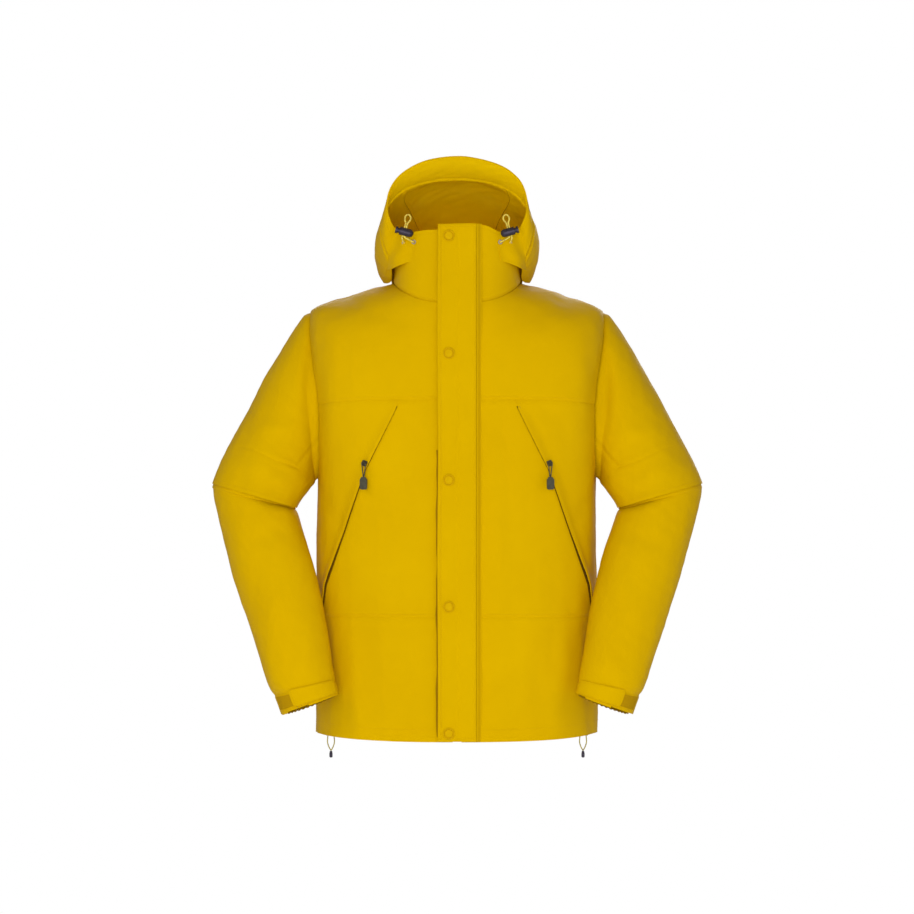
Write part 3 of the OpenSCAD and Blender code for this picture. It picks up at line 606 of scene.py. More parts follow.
def build_stitches():
    """One mesh for each body's stitches: short rounded threads that end in the cloth."""
    c = STITCH_SIDES
    one = [(r * c + k, r * c + k + 1, r * c + k + c + 1, r * c + k + c) for r in range(3) for k in range(c - 1)]
    one += [tuple(range(c))[::-1], tuple(range(3 * c, 4 * c))]
    one += [(r * c, r * c + c, r * c + 2 * c - 1, r * c + c - 1) for r in range(3)]
    for body, rows in stitches.items():
        at, along, up = (np.concatenate([row[i] for row in rows]) for i in range(3))
        along = unit(along)
        across = unit(np.cross(along, up))
        up = np.cross(across, along)
        rings = []
        for share, size in STITCH_RINGS:
            for k in range(c):
                a = math.pi * k / (c - 1)
                rings.append(at + along * share * STITCH_LENGTH
                             + across * (math.cos(a) * size * STITCH_WIDTH / 2)
                             + up * ((math.sin(a) * size - 0.15) * STITCH_HEIGHT))
        faces = [tuple(i * 4 * c + n for n in f) for i in range(len(at)) for f in one]
        obj = new_object("stitches_" + body, np.stack(rings, axis=1).reshape(-1, 3), faces)
        obj.data.materials.append(THREAD)
        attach(obj, body)


def line_near_edge(p, n, edge, distance):
    """The line at a distance from one edge of a grid, with its normals."""
    gap, q = edge_gaps(p)[edge], np.concatenate([p, n], axis=-1)
    if edge in ("first", "last"):
        gap, q = gap.T, q.swapaxes(0, 1)
    lines = []
    for run, row in zip(gap, q):
        order = np.argsort(run)
        if run[order[-1]] >= 2 * distance:
            lines.append([np.interp(distance, run[order], row[order, c]) for c in range(6)])
    lines = np.array(lines)
    return (lines[:, :3], lines[:, 3:]) if len(lines) > 1 else (None, None)


def sew_edges(body, p, n, seams, pitch=3.7):
    for edge, distance in seams:
        line, normals = line_near_edge(p, n, edge, distance)
        if line is not None:
            sew(body, line, normals, pitch)


# ---------------------------------------------------------------- body panels
BODY_CENTRE = (0, -60, -400)
LINED = {"cover": LINING, "inner": LINING, "slot": "lining"}


def panel(name, p, side, body, nodes, grooves, seams, drape=body_drape, centre=BODY_CENTRE, thick=1.5,
          cover=SHELL, inner=LINING, raise_by=None, slot="shell", weight=1.0):
    """One cloth panel: folds and seam grooves pushed into a grid, made a closed piece, sewn and placed."""
    push = drape(p, side) * weight + seam_groove(p, grooves)
    if raise_by is not None:
        push = push + raise_by(p)
    p = p + outward(p, centre) * push[..., None]
    n = piece(name, p, centre, thick, cover, body, nodes, inner)
    sew_edges(body, p, n, seams)


def half_grid(v, start, end, count, sign, keys=RINGS, inset=0.0):
    """A grid on one half of the body: rows at v, columns from the start angle to the end angle."""
    u = np.linspace(0, 1, count)
    a = start[:, None] * (1 - u) + end[:, None] * u
    return mirrored(ring_point(keys, v[:, None] + 0 * a, a, inset), sign)


def wrapped_grid(v, edge, count, keys=RINGS, inset=0.0):
    """A grid right across the back, from the wearer's right edge to the left one."""
    behind = np.full(len(v), 180.0)
    right = half_grid(v, edge, behind, count, -1, keys, inset)
    left = half_grid(v, behind, edge, count, 1, keys, inset)
    return np.concatenate([right, left[:, 1:]], axis=1)


quarter = np.linspace(0, math.pi / 2, 34)
ROWS_HEM = np.linspace(0, WAIST, 58)
ROWS_MID = np.concatenate([np.linspace(WAIST, ARMPIT, 66)[:-1], YOKE - np.cos(quarter)])
ROWS_YOKE = np.concatenate([YOKE + np.sin(quarter)[:-1], np.linspace(SHOULDER, NECK, 52)])
ROWS_BACK = np.concatenate([np.linspace(0, WAIST, 50)[:-1], ROWS_MID])
LIP_OVERLAP = 3.5
LIP_KEYS = np.array([[-552, 1.2], [-530, 3.0], [-480, 6.5], [-420, 5.0], [-330, 5.5], [-250, 4.5], [-204, 0.6]])


def lip(p):
    """The pocket edge stands off the front panel, most where hands go in."""
    height = np.interp(p[..., 2], LIP_KEYS[:, 0], LIP_KEYS[:, 1])
    return height * np.exp(-(edge_gaps(p)["start"] / 11) ** 2)


def lip_angle(v):
    z = keys_at(RINGS, v)[..., 0]
    shift = LIP_OVERLAP * np.clip((z - WAIST_Z) / 14, 0, 1) * np.clip((-204 - z) / 14, 0, 1)
    return angle_of_x(RINGS, v, pocket_x(z) - shift)


FRONT_PIECES = (
    # name, rows, first angle, last angle, columns, grooved edges, stitched edges, raised by
    ("front_yoke", ROWS_YOKE, placket_angle, front_side_angle, 78, ("first", "end"),
     (("first", 4.5), ("end", 5)), None),
    ("front_panel", ROWS_MID, placket_angle, under_lip_angle, 76, ("last", "first"), (("first", 4.5),), None),
    ("side_panel", ROWS_MID, lip_angle, front_side_angle, 60, ("last", "first", "end"),
     (("start", 6), ("first", 4.5), ("end", 5)), lip),
    ("front_hem", ROWS_HEM, placket_angle, flank_angle, 96, ("last", "end"), (("first", 20), ("end", 5)), None),
)
for side, sign in SIDES:
    for stem, rows, start, end, count, grooves, seams, raise_by in FRONT_PIECES:
        panel(f"{stem}_{side}_cloth", half_grid(rows, start(rows), end(rows), count, sign), sign, "jacket",
              [f"{stem}_{side}"], grooves, seams, raise_by=raise_by)

panel("back_yoke_cloth", wrapped_grid(ROWS_YOKE, back_side_angle(ROWS_YOKE), 76), 1, "jacket", ["back_yoke"],
      ("first", "start", "end"), (("first", 4.5), ("start", 5), ("end", 5)))
panel("back_panel_cloth", wrapped_grid(ROWS_BACK, back_side_angle(ROWS_BACK), 84), 1, "jacket", ["back_panel"],
      ("last", "start", "end"), (("first", 20), ("start", 5), ("end", 5)))

# The lining hangs inside, from near the hem up to the neck, and is cut away under the arms.
for name, v, nodes, seams, weight in (  # v is the rows
        ("body_lining_cloth", np.linspace(0.25, 3.9, 60), ["body_lining"], (("first", 4),), 0.35),
        ("yoke_lining_cloth", np.linspace(6.15, 7.9, 34), [], (), 0.2)):
    panel(name, wrapped_grid(v, angle_of_x(RINGS, v, 32.0), 70, inset=7.0), 1, "jacket", nodes, (), seams,
          thick=1.2, weight=weight, **LINED)
for side, sign in SIDES:
    v = np.linspace(2.05, 3.85, 40)
    panel(f"pocket_bag_{side}_cloth",
          half_grid(v, angle_of_x(RINGS, v, 70.0), angle_of_x(RINGS, v, 165.0), 30, sign, inset=3.2), sign,
          "jacket", [f"pocket_bag_{side}"], (), (("start", 5), ("first", 5)), thick=1.0, weight=0.5, **LINED)


# ---------------------------------------------------------------- collar
COLLAR_CENTRE = (0, -80, 10)
COLLAR_ROWS = np.linspace(0, 2, 40)
INNER_COLLAR_ROWS = np.linspace(0.1, 1.97, 34)


def collar_rise(p, side):
    """On the wearer's left the collar climbs to meet the top of the flap."""
    top = np.clip((p[..., 2] - 20) / 46, 0, 1) ** 2
    near = np.clip(1 - (np.abs(p[..., 0]) - 44) / 26, 0, 1)
    front = p[..., 1] < -120
    p = p.copy()
    p[..., 2] += (9.0 if side > 0 else 1.5) * top * near * near * (3 - 2 * near) * front
    return p


for side, sign in SIDES:
    grid = half_grid(COLLAR_ROWS, angle_of_x(COLLAR_RINGS, COLLAR_ROWS, float(PLACKET_X)),
                     np.full(len(COLLAR_ROWS), 180.0), 120, sign, COLLAR_RINGS)
    panel(f"collar_{side}_cloth", collar_rise(grid, sign), sign, "jacket", [f"collar_{side}"], ("first",),
          (("last", 6), ("first", 4)), centre=COLLAR_CENTRE, inner=INSIDE_PAINTED_LIGHT, thick=1.8, weight=0.4)
# The collar's lining is the brightened inside cloth: painted light in the collar's shade.
grid = wrapped_grid(INNER_COLLAR_ROWS, np.full(len(INNER_COLLAR_ROWS), 15.0), 90, COLLAR_RINGS, 3.8)
panel("collar_lining_cloth", grid, 1, "jacket", ["collar_lining"], (), (("last", 5),), centre=COLLAR_CENTRE,
      cover=INSIDE_PAINTED_LIGHT, inner=INSIDE_PAINTED_LIGHT, slot="lining", thick=1.4, weight=0.3)


# ---------------------------------------------------------------- sleeves
SLEEVE_ANGLES = np.linspace(0, 360, 181)


def sleeve_grid(w, sign, inset=0.0, angles=SLEEVE_ANGLES):
    """Rings of the sleeve from the shoulder down; the last column repeats the first."""
    ww, a = np.meshgrid(w, angles, indexing="ij")
    return mirrored(sleeve_point(ww, a, inset), sign)


def sleeve_folds(p, side, grooves=(), weight=1.0):
    """The sleeve's folds, and a groove of some depth and width along its first or last row."""
    gap = edge_gaps(p)
    push = sleeve_drape(p, side) * weight
    for edge, depth, width in grooves:
        push = push - depth * np.exp(-(gap[edge] / width) ** 2)
    return p + tube_outward(p) * push[..., None]


def tube(name, p, thick, cover=SHELL, inner=LINING):
    """A closed sleeve of cloth, and its normals."""
    n = tube_outward(p)
    return shell(name, p, n, thick, cover, inner, closed=True), n


def polyline_distance(p, points):
    """Distance seen from the front to a line of (x, z) points."""
    best = np.full(p.shape[:-1], 1e9)
    q = p[..., [0, 2]]
    for a, b in zip(points[:-1], points[1:]):
        a, b = np.array(a, float), np.array(b, float)
        t = np.clip(((q - a) @ (b - a)) / ((b - a) @ (b - a)), 0, 1)
        best = np.minimum(best, np.linalg.norm(q - a - t[..., None] * (b - a), axis=-1))
    return best


GUSSET = ((221, -268), (257, -312), (290, -302), (326, -284), (352, -278))
ARMHOLE_TUCK = 0.42
HEAD_TUCK = 0.27
SLEEVE_TOP = 4.12
ELBOW_TUCK = 2.6


def upper_sleeve_grid(w, sign):
    """Rings of the upper sleeve, which start on the body's own armhole edge."""
    ww, a = np.meshgrid(w, SLEEVE_ANGLES, indexing="ij")
    up, turned = np.cos(np.radians(a)), np.sin(np.radians(a))
    head = np.clip(up, 0, 1) ** 1.5
    v = YOKE + up
    edge = ring_point(RINGS, v, np.where(turned >= 0, front_side_angle(v), back_side_angle(v)))
    edge -= np.stack([5.0 - 2.5 * head, (edge[..., 1] + 60) * 0.035, 2.5 * up - 4.0 * head], axis=-1)
    t = np.clip(ww / (ARMHOLE_TUCK - HEAD_TUCK * head), 0, 1)[..., None]
    t = t * (2 - t)
    return mirrored(edge * (1 - t) + sleeve_point(ww, a) * t, sign)


def upper_sleeve_details(p, q, n):
    """Pushes that shape the armhole's valley, the elbow's lifted edge and the gusset's seam, one by one."""
    turned = np.clip(np.sin(np.radians(SLEEVE_ANGLES)), 0, 1)
    sunk = 2.6 * turned * np.clip(0.6 - np.cos(np.radians(SLEEVE_ANGLES)), 0, 1)
    p = p - n * (np.exp(-(edge_gaps(p)["first"] / 8) ** 2) * sunk)[..., None]
    lifted = 4.2 * turned * np.exp(-((SLEEVE_ANGLES - 118) / 34) ** 2)
    p = p + n * (np.exp(-(edge_gaps(p)["last"] / 15) ** 2) * lifted)[..., None]
    off = polyline_distance(q, GUSSET)
    seam = 1.2 * np.exp(-(off / 2.2) ** 2) - 0.4 * np.exp(-((off - 6) / 3) ** 2)
    faint = np.interp(q[..., 0], [262, 292, 360], [1.0, 0.6, 0.15])
    return p - n * (seam * (q[..., 1] < -80) * faint)[..., None]


for side, sign in SIDES:
    upper, lower = f"upper_sleeve_{side}", f"forearm_{side}"
    w = np.concatenate([np.linspace(0, ARMHOLE_TUCK, 16)[:-1], np.linspace(ARMHOLE_TUCK, SLEEVE_TOP, 122)])
    grid = upper_sleeve_grid(w, sign)
    p = sleeve_folds(grid, sign, (("first", 1.0, 6), ("last", -0.3, 6)))
    p = upper_sleeve_details(p, mirrored(grid, sign), tube_outward(p))
    obj, n = tube(f"{upper}_cloth", p, 1.6)
    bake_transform(obj)
    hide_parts(upper)
    line, normals = line_near_edge(p, n, "last", 7)
    keep = mirrored(line, sign)[:, 0] > 257
    sew(upper, line[keep], normals[keep])

    # The elbow's inner cloth joins the two sleeve parts.
    w = np.linspace(3.55, 5.5, 70)
    hollow = 5.5 * np.exp(-((SLEEVE_ANGLES - 128) / 36) ** 2)[None, :]
    inset = np.interp(w, [3.55, 3.9, 4.05, 4.55, 4.75, 5.5], [7.0, 3.6, 1.9, 1.9, 5.5, 8.0])
    inset = inset[:, None] + hollow * np.clip((4.9 - w) / 0.3, 0, 1)[:, None]
    obj, n = tube(f"elbow_{side}_cloth", sleeve_folds(sleeve_grid(w, sign, inset), sign, weight=0.4), 1.2)
    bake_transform(obj)

    w = np.linspace(4.5, 8.99, 150)
    ease = np.clip((w - 4.5) / 0.6, 0, 1)
    tuck = ELBOW_TUCK * (1 - ease ** 2 * (3 - 2 * ease))
    grid = sleeve_grid(w, sign, tuck[:, None] * (1 + hollow / ELBOW_TUCK))
    obj, n = tube(f"{lower}_cloth", sleeve_folds(grid, sign, (("last", 1.4, 4),)), 1.6)
    place(obj, lower, [lower])

    p = sleeve_folds(sleeve_grid(np.linspace(8.99, 10.04, 34), sign), sign, (("first", 1.0, 2.5),), weight=0.35)
    obj, n = tube(f"cuff_band_{side}_cloth", p, 2.2, TRIM)
    place(obj, lower, [f"cuff_band_{side}"])
    sew_edges(lower, p, n, (("first", 4), ("last", 4)))

    # Gathered elastic shows inside the cuff's opening, lower at the back of the hand.
    w, a = np.linspace(9.1, 10.1, 30)[:, None], np.linspace(0, 360, 361)
    gather = 1.3 * np.sin(np.radians(a) * 34) * (0.6 + 0.4 * np.sin(w * 9 + a / 40))
    drop = np.clip(-np.sin(np.radians(a)), 0, 1) ** 0.6 * np.clip((w - 9.5) / 0.5, 0, 1)
    p = sleeve_grid(w[:, 0], sign, 7.0 + gather, a)
    p = p + (np.array([-8 * sign, -5, -23.5]) / 25.3 * 5.0) * drop[..., None]
    obj, n = tube(f"cuff_gaiter_{side}_cloth", p, 1.0, GAITER, GAITER)
    place(obj, lower, [f"cuff_gaiter_{side}"])


def cuff_patch(name, sign, w_range, a_range, height, thick, cover, body, nodes=(), round_end=0.0):
    """A strap laid on the front of the cuff; one end can be rounded."""
    w = np.linspace(*w_range, 22)[:, None]
    off = np.abs(w - sum(w_range) / 2) / ((w_range[1] - w_range[0]) / 2)
    back = round_end * (1 - np.sqrt(np.clip(1 - off ** 4, 0, 1)))
    reach = a_range[1] - a_range[0]
    a = a_range[0] + (reach - np.sign(reach) * back) * np.linspace(0, 1, 60)
    p = mirrored(sleeve_point(w + 0 * a, a, -height + 0 * a), sign)
    middle = mirrored(sleeve_point(np.array(9.5), np.array(90.0), 30.0), sign)
    return p, piece(name, p, middle, thick, cover, body, nodes)


for side, sign in SIDES:
    cuff_patch(f"cuff_hook_{side}", sign, (9.08, 9.72), (130, 18), 0.7, 0.9, HOOK, f"forearm_{side}")
    tab = f"cuff_tab_{side}"
    p, n = cuff_patch(f"{tab}_cloth", sign, (8.78, 9.84), (152, 60), 2.9, 1.9, TRIM, tab, [tab], round_end=7.0)
    sew_edges(tab, p, n, (("last", 2.6), ("first", 2.6), ("end", 3.2)), pitch=3.2)


# ---------------------------------------------------------------- hood
HOOD_ROWS = np.linspace(1, 5, 110)
BRIM_ROWS = np.linspace(0, 1, 30)


def hood_grid(rows, t_from, t_to, count, sign=1):
    v, t = np.meshgrid(rows, np.linspace(t_from, t_to, count), indexing="ij")
    return mirrored(hood_point(v, t), sign)


def arch_grid(rows, t_edge, count):
    """A grid over the crown, from the wearer's right to the left."""
    right = hood_grid(rows, t_edge, 1, count, -1)
    left = hood_grid(rows, 1, t_edge, count, 1)
    return np.concatenate([right, left[:, 1:]], axis=1)


# The hood's inner faces take the brightened inside cloth: painted light in the hood's shade.
HOOD = {"drape": hood_drape, "centre": HOOD_CENTRE, "inner": INSIDE_PAINTED_LIGHT}
panel("hood_brim_cloth", arch_grid(BRIM_ROWS, 0, 110), 1, "hood", ["hood_brim"], ("last",),
      (("first", 16), ("last", 5)), thick=2.2, weight=0.5, **HOOD)
panel("hood_centre_cloth", arch_grid(HOOD_ROWS, HOOD_SPLIT, 40), 1, "hood", ["hood_centre_panel"],
      ("first", "start", "end"), (("first", 5), ("start", 4.5), ("end", 4.5)), thick=1.8, **HOOD)
for side, sign in SIDES:
    panel(f"hood_side_{side}_cloth", hood_grid(HOOD_ROWS, 0, HOOD_SPLIT, 60, sign), sign, "hood",
          [f"hood_side_{side}"], ("first", "end"), (("first", 5), ("end", 4.5), ("start", 12)), thick=1.8,
          **HOOD)

# Cheek pieces carry the hood's side round to the front of the collar, below the cord locks.
CHEEK_V = (0.02, 1.42)
CHEEK_X = (63.0, 70.0)
CHEEK_Z = (65.0, 15.0)
CHEEK_CENTRE = (0, -80, 40)


def cheek_grid(sign):
    """A sheet that leaves the collar along its surface and meets the hood's edge along the hood's."""
    s, u = np.meshgrid(np.linspace(0, 1, 46), np.linspace(0, 1, 40), indexing="ij")
    v, x_from, z_from = (a + (b - a) * s for a, b in (CHEEK_V, CHEEK_X, CHEEK_Z))
    rise = np.interp(z_from, COLLAR_RINGS[:, 0], np.arange(len(COLLAR_RINGS)))

    def on_collar(x):
        return ring_point(COLLAR_RINGS, rise, angle_of_x(COLLAR_RINGS, rise, x), -0.4)

    edge, root = hood_point(v, 0.03, -0.8), on_collar(x_from)
    facing = unit(np.cross(hood_point(v + 0.15, 0.03, -0.8) - edge, hood_point(v, 0.13, -0.8) - edge))
    reach = edge - root
    level = unit(reach - facing * np.sum(reach * facing, axis=-1, keepdims=True))
    span = np.linalg.norm(reach, axis=-1, keepdims=True)
    leave = root + unit(on_collar(x_from + 5.0) - root) * span * 0.33
    p = bezier(root, leave, edge - level * span * 0.3, edge, u[..., None])
    p = p + np.array([0.45, -0.9, 0]) * ((2.5 + 2.5 * s) * np.sin(math.pi * u) ** 2)[..., None]
    p[..., 2] -= 2.5 * np.sin(math.pi * u) * s ** 4
    return mirrored(p, sign)


for side, sign in SIDES:
    p = cheek_grid(sign)
    gap = edge_gaps(p)
    lift = 0.5 * ripple(p, 40, 31) + 1.2 * np.exp(-(gap["last"] / 5) ** 2) * np.clip(gap["start"] / 12, 0, 1)
    p = p + outward(p, CHEEK_CENTRE) * (lift * np.clip(gap["start"] / 10, 0, 1))[..., None]
    piece(f"hood_cheek_{side}_cloth", p, CHEEK_CENTRE, 1.8, SHELL, "hood", inner=INSIDE_PAINTED_LIGHT)

# A gusset stands on the collar's side, behind the slot below the cheek; its dark brown is painted shade of the
# slot.
for side, sign in SIDES:
    z, u = np.meshgrid(np.linspace(34, -21, 30), np.linspace(0, 1, 24), indexing="ij")
    outer_x = np.interp(z, [-21, -10, 12, 34], [103.0, 105.0, 112.0, 118.0])
    p = np.stack([93 + (outer_x - 93) * u, -84 - 4 * u + 5 * np.sin(math.pi * u), z], axis=-1)
    piece(f"hood_gusset_{side}_cloth", mirrored(p, sign), (0, 0, 5), 1.2, TAPE_AND_PAINTED_SHADE, "jacket")

# ---------------------------------------------------------------- storm flap and its seam
FLAP_LEFT, FLAP_RIGHT = low("storm_flap").x, high("storm_flap").x
FLAP_TOP, FLAP_BOTTOM = high("storm_flap").z, low("storm_flap").z
FLAP_FRONT, FLAP_BACK = low("storm_flap").y, high("storm_flap").y
cap_low, cap_high = low("snap_caps"), high("snap_caps")
SNAP_X = (cap_low.x + cap_high.x) / 2
SNAP_R = (cap_high.x - cap_low.x) / 2
SNAP_Z = [cap_high.z - SNAP_R] + list(np.linspace(-130, cap_low.z + SNAP_R, 4))


def flap_wave(x, z):
    """How far the flap's free edge stands forward of flat, between snaps."""
    free = np.clip((12 - x) / (12 - FLAP_LEFT), 0, 1) ** 2
    level = np.interp(z, SNAP_Z[::-1], np.arange(len(SNAP_Z)))
    between = np.sin(math.pi * (level % 1.0)) ** 2
    wave = 1.5 * between + 0.5 * np.sin(z / 37.0) + 0.4 * np.sin(z / 19.0 + 1)
    return free * wave


FLAP_CENTRE = (0, 0, -340)
z, across = np.meshgrid(np.linspace(FLAP_TOP, FLAP_BOTTOM, 330), np.linspace(-1, 1, 56), indexing="ij")
across = np.sign(across) * np.abs(across) ** 0.8
x = across * (FLAP_RIGHT - FLAP_LEFT) / 2 + (FLAP_RIGHT + FLAP_LEFT) / 2
edge_drop = 1.1 * np.clip((np.abs(across) - 0.93) / 0.07, 0, 1) ** 2
end_drop = 1.0 * np.clip(1 - np.minimum(FLAP_TOP - z, z - FLAP_BOTTOM) / 2.5, 0, 1) ** 2
y = FLAP_FRONT + edge_drop + end_drop - flap_wave(x, z)
p = np.stack([x + 0.5 * np.sin(z / 60.0) * (across < 0), y, z], axis=-1)
p[..., 1] -= 0.35 * ripple(p, 60, 41) + 0.2 * ripple(p, 18, 43)
for line_x, depth in ((FLAP_RIGHT - 3.0, 0.35), (FLAP_RIGHT - 30.0, 0.35), (FLAP_LEFT + 4.5, 0.3)):
    p[..., 1] += depth * np.exp(-((p[..., 0] - line_x) / 1.1) ** 2)
p[..., 2] += 0.48 * (z > FLAP_TOP - 40) * np.sin((p[..., 0] + 5) / 16.0)
n = piece("storm_flap_cloth", p, FLAP_CENTRE, FLAP_BACK - FLAP_FRONT - 0.4, TRIM, "storm_flap",
          ["storm_flap"], LINING)
sew_edges("storm_flap", p, n, (("start", 4.5), ("start", 6.5), ("end", 3.0), ("last", 5), ("first", 5)))

# The placket's edge falls from the flap's seam to the front panels.
z, u = np.meshgrid(np.linspace(FLAP_TOP, FLAP_BOTTOM, 300), np.linspace(0, 1, 12), indexing="ij")
x = FLAP_RIGHT + 0.5 + (high("flap_seam_strip").x + 1.5 - FLAP_RIGHT) * u
y = FLAP_FRONT + 0.9 + (FRONT_Y - 0.3 - FLAP_FRONT - 0.9) * (u * u * (3 - 2 * u))
p = np.stack([x, y, z], axis=-1)
p[..., 1] -= 0.3 * ripple(p, 40, 47) * (1 - u)
piece("flap_seam_cloth", p, FLAP_CENTRE, 1.2, SHELL, "jacket", ["flap_seam_strip"])

# A strip of rough dark cloth along the placket beside the flap's lower free edge: partly the placket's edge,
# partly painted shade of the gap under the flap.
z, u = np.meshgrid(np.linspace(-285, FLAP_BOTTOM + 8, 200), np.linspace(0, 1, 7), indexing="ij")
width = 2.1 + 0.7 * np.sin(z / 23.0) + 0.4 * np.sin(z / 9.0)
p = np.stack([FLAP_LEFT + 2.0 - (width + 2.0) * u, FRONT_Y - 2.6 + 0 * z, z], axis=-1)
p[..., 1] -= 0.5 * ripple(p, 9, 53)
piece("placket_edge_and_shade", p, FLAP_CENTRE, 1.6, TAPE_AND_PAINTED_SHADE, "jacket")


# ---------------------------------------------------------------- snaps
def repeated(name, verts, faces, centres, cover, slot, sharp):
    """One piece made of the same small mesh at every centre; edges sharper than some degrees stay sharp."""
    places = np.array(centres, float)[:, None] + np.array(verts, float)[None]
    faces = [tuple(len(verts) * i + v for v in face) for i in range(len(centres)) for face in faces]
    obj = new_object(name, places.reshape(-1, 3), faces)
    obj.data.set_sharp_from_angle(angle=math.radians(sharp))
    obj.data.materials.append(cover)
    return obj


def turned_shape(profile, steps):
    """Rings of (radius, height) round an axis that faces forward, closed at both ends."""
    turn = np.linspace(0, 2 * math.pi, steps, endpoint=False)
    verts = [(radius * math.cos(t), -height, radius * math.sin(t)) for radius, height in profile for t in turn]
    last = (len(profile) - 1) * steps
    faces = [(i + k, i + (k + 1) % steps, i + steps + (k + 1) % steps, i + steps + k)
             for i in range(0, last, steps) for k in range(steps)]
    return verts, faces + [tuple(range(last, last + steps)), tuple(range(steps))[::-1]]


# The cap's rim, the groove inside it, and its raised middle: distance in from the rim, height.
CAP_PROFILE = ((0.9, 0), (0.1, 0.35), (0, 0.85), (0.35, 1.35), (0.9, 1.6), (1.4, 1.62), (1.65, 1.2), (1.8, 0.4),
               (2.0, 0.15), (2.5, 0.15), (2.75, 0.4), (2.95, 1.0), (3.4, 1.3), (4.6, 1.4), (6.5, 1.35),
               (SNAP_R - 0.6, 1.3))
cap = turned_shape([(SNAP_R - inward, height) for inward, height in CAP_PROFILE], 64)
cap_centres = [(SNAP_X, FLAP_FRONT - 0.2, z) for z in SNAP_Z]
place(repeated("snap_cap_faces", *cap, cap_centres, CAP, "snap", 40), "storm_flap", ["snap_caps"])

# ---------------------------------------------------------------- hanger loop
LOOP_HALF, LOOP_WEB, LOOP_R, LOOP_DROP, LOOP_FOOT = 32.0, 8.0, 15.0, 20.0, 10.0
arc = [(LOOP_R * math.sin(t), -LOOP_R + LOOP_R * math.cos(t)) for t in np.linspace(-1.05, 1.05, 26)]
outline = np.array([(-LOOP_HALF + LOOP_FOOT - 1, -LOOP_DROP - 0.8), (-LOOP_HALF + 1.2, -LOOP_DROP - 0.6)] + arc
                   + [(LOOP_HALF - 1.2, -LOOP_DROP - 0.6), (LOOP_HALF - LOOP_FOOT + 1, -LOOP_DROP - 0.8)])
run = run_lengths(outline, 0)
places, u = np.meshgrid(np.linspace(0, run[-1], 150), np.linspace(-1, 1, 14), indexing="ij")
x, z = (np.interp(places, run, outline[:, i]) for i in range(2))
p = np.stack([x, u * LOOP_WEB / 2, z - 0.25 * np.abs(u) ** 3 + 0.12 * np.cos(u * 9.0)], axis=-1)
piece("hanger_webbing", p, (0, 0, -LOOP_DROP), 1.3, WEBBING, "jacket", ["hanger_loop"])

# ---------------------------------------------------------------- main zip
tape_low, tape_high = low("zip_tapes"), high("zip_tapes")
chain_low, chain_high = low("zip_chain"), high("zip_chain")
ZIP_Y = (chain_low.y + chain_high.y) / 2


def tooth_shape(sizes, bevel=0.25):
    """A small block of some size with chamfered ends."""
    sx, sy, sz = (s / 2 for s in sizes)
    verts = [(dx * (sx - shrink), dy * (sy - shrink), dz)
             for dz, shrink in ((-sz, bevel), (-sz + bevel, 0), (sz - bevel, 0), (sz, bevel))
             for dx, dy in ((-1, -1), (1, -1), (1, 1), (-1, 1))]
    faces = [(r + k, r + (k + 1) % 4, r + 4 + (k + 1) % 4, r + 4 + k) for r in (0, 4, 8) for k in range(4)]
    return verts, [(0, 3, 2, 1), (12, 13, 14, 15)] + faces


levels = np.arange(chain_low.z + 1.5, chain_high.z - 1, 2.6)
teeth = [(0.9, ZIP_Y, z) for z in levels] + [(-0.9, ZIP_Y, z + 1.3) for z in levels[:-1]]
place(repeated("zip_teeth_row", *tooth_shape((3.4, 2.4, 1.2)), teeth, ZIP, "zip", 50), "jacket", ["zip_chain"])
for side, sign in SIDES:
    z, x = np.meshgrid(np.linspace(tape_high.z, tape_low.z, 160), np.linspace(2.2, tape_high.x, 12),
                       indexing="ij")
    p = np.stack([sign * x, ZIP_Y - 0.3 + 0 * x, z], axis=-1)
    p[..., 1] += 0.25 * ripple(p, 30, 61)
    piece(f"zip_tape_{side}_cloth", p, FLAP_CENTRE, 0.7, TRIM, "jacket",
          ["zip_tapes"] if side == "right" else [])


# ---------------------------------------------------------------- pocket zips, hidden under the lip, and a strip of painted shade beside it
def pocket_strip(name, sign, v_range, rows, x_from, x_to, inset, cover, ridge, nodes=()):
    """A strip laid along the pocket's seam, from x_from to x_to mm outward of it."""
    v = np.linspace(*v_range, rows)
    at = pocket_x(keys_at(RINGS, v)[:, 0])
    p = half_grid(v, angle_of_x(RINGS, v, at + x_from), angle_of_x(RINGS, v, at + x_to), 10, sign, inset=inset)
    n = outward(p, BODY_CENTRE)
    p = p + n * (body_drape(p, sign) * 0.6)[..., None]
    hump = ridge * np.exp(-(np.linspace(-1, 1, 10) / 0.3) ** 2)
    p = p + n * (hump + 0.15 * np.sin(run_lengths(p, 0) * 2.4))[..., None]
    piece(name, p, BODY_CENTRE, 1.0, cover, "jacket", nodes)


for side, sign in SIDES:
    pocket_strip(f"pocket_zip_{side}_strip", sign, (2.35, 4.9), 160, -2.0, 2.5, -0.4, ZIP, 0.6,
                 [f"pocket_zip_{side}"])
    # The dark strip past the lip's edge is painted shade of the gap under the lip.
    pocket_strip(f"pocket_gap_shade_{side}_strip", sign, (2.04, 4.90), 190, -4.7, -2.2, -1.1, POCKET_GAP_SHADE, 0.1)


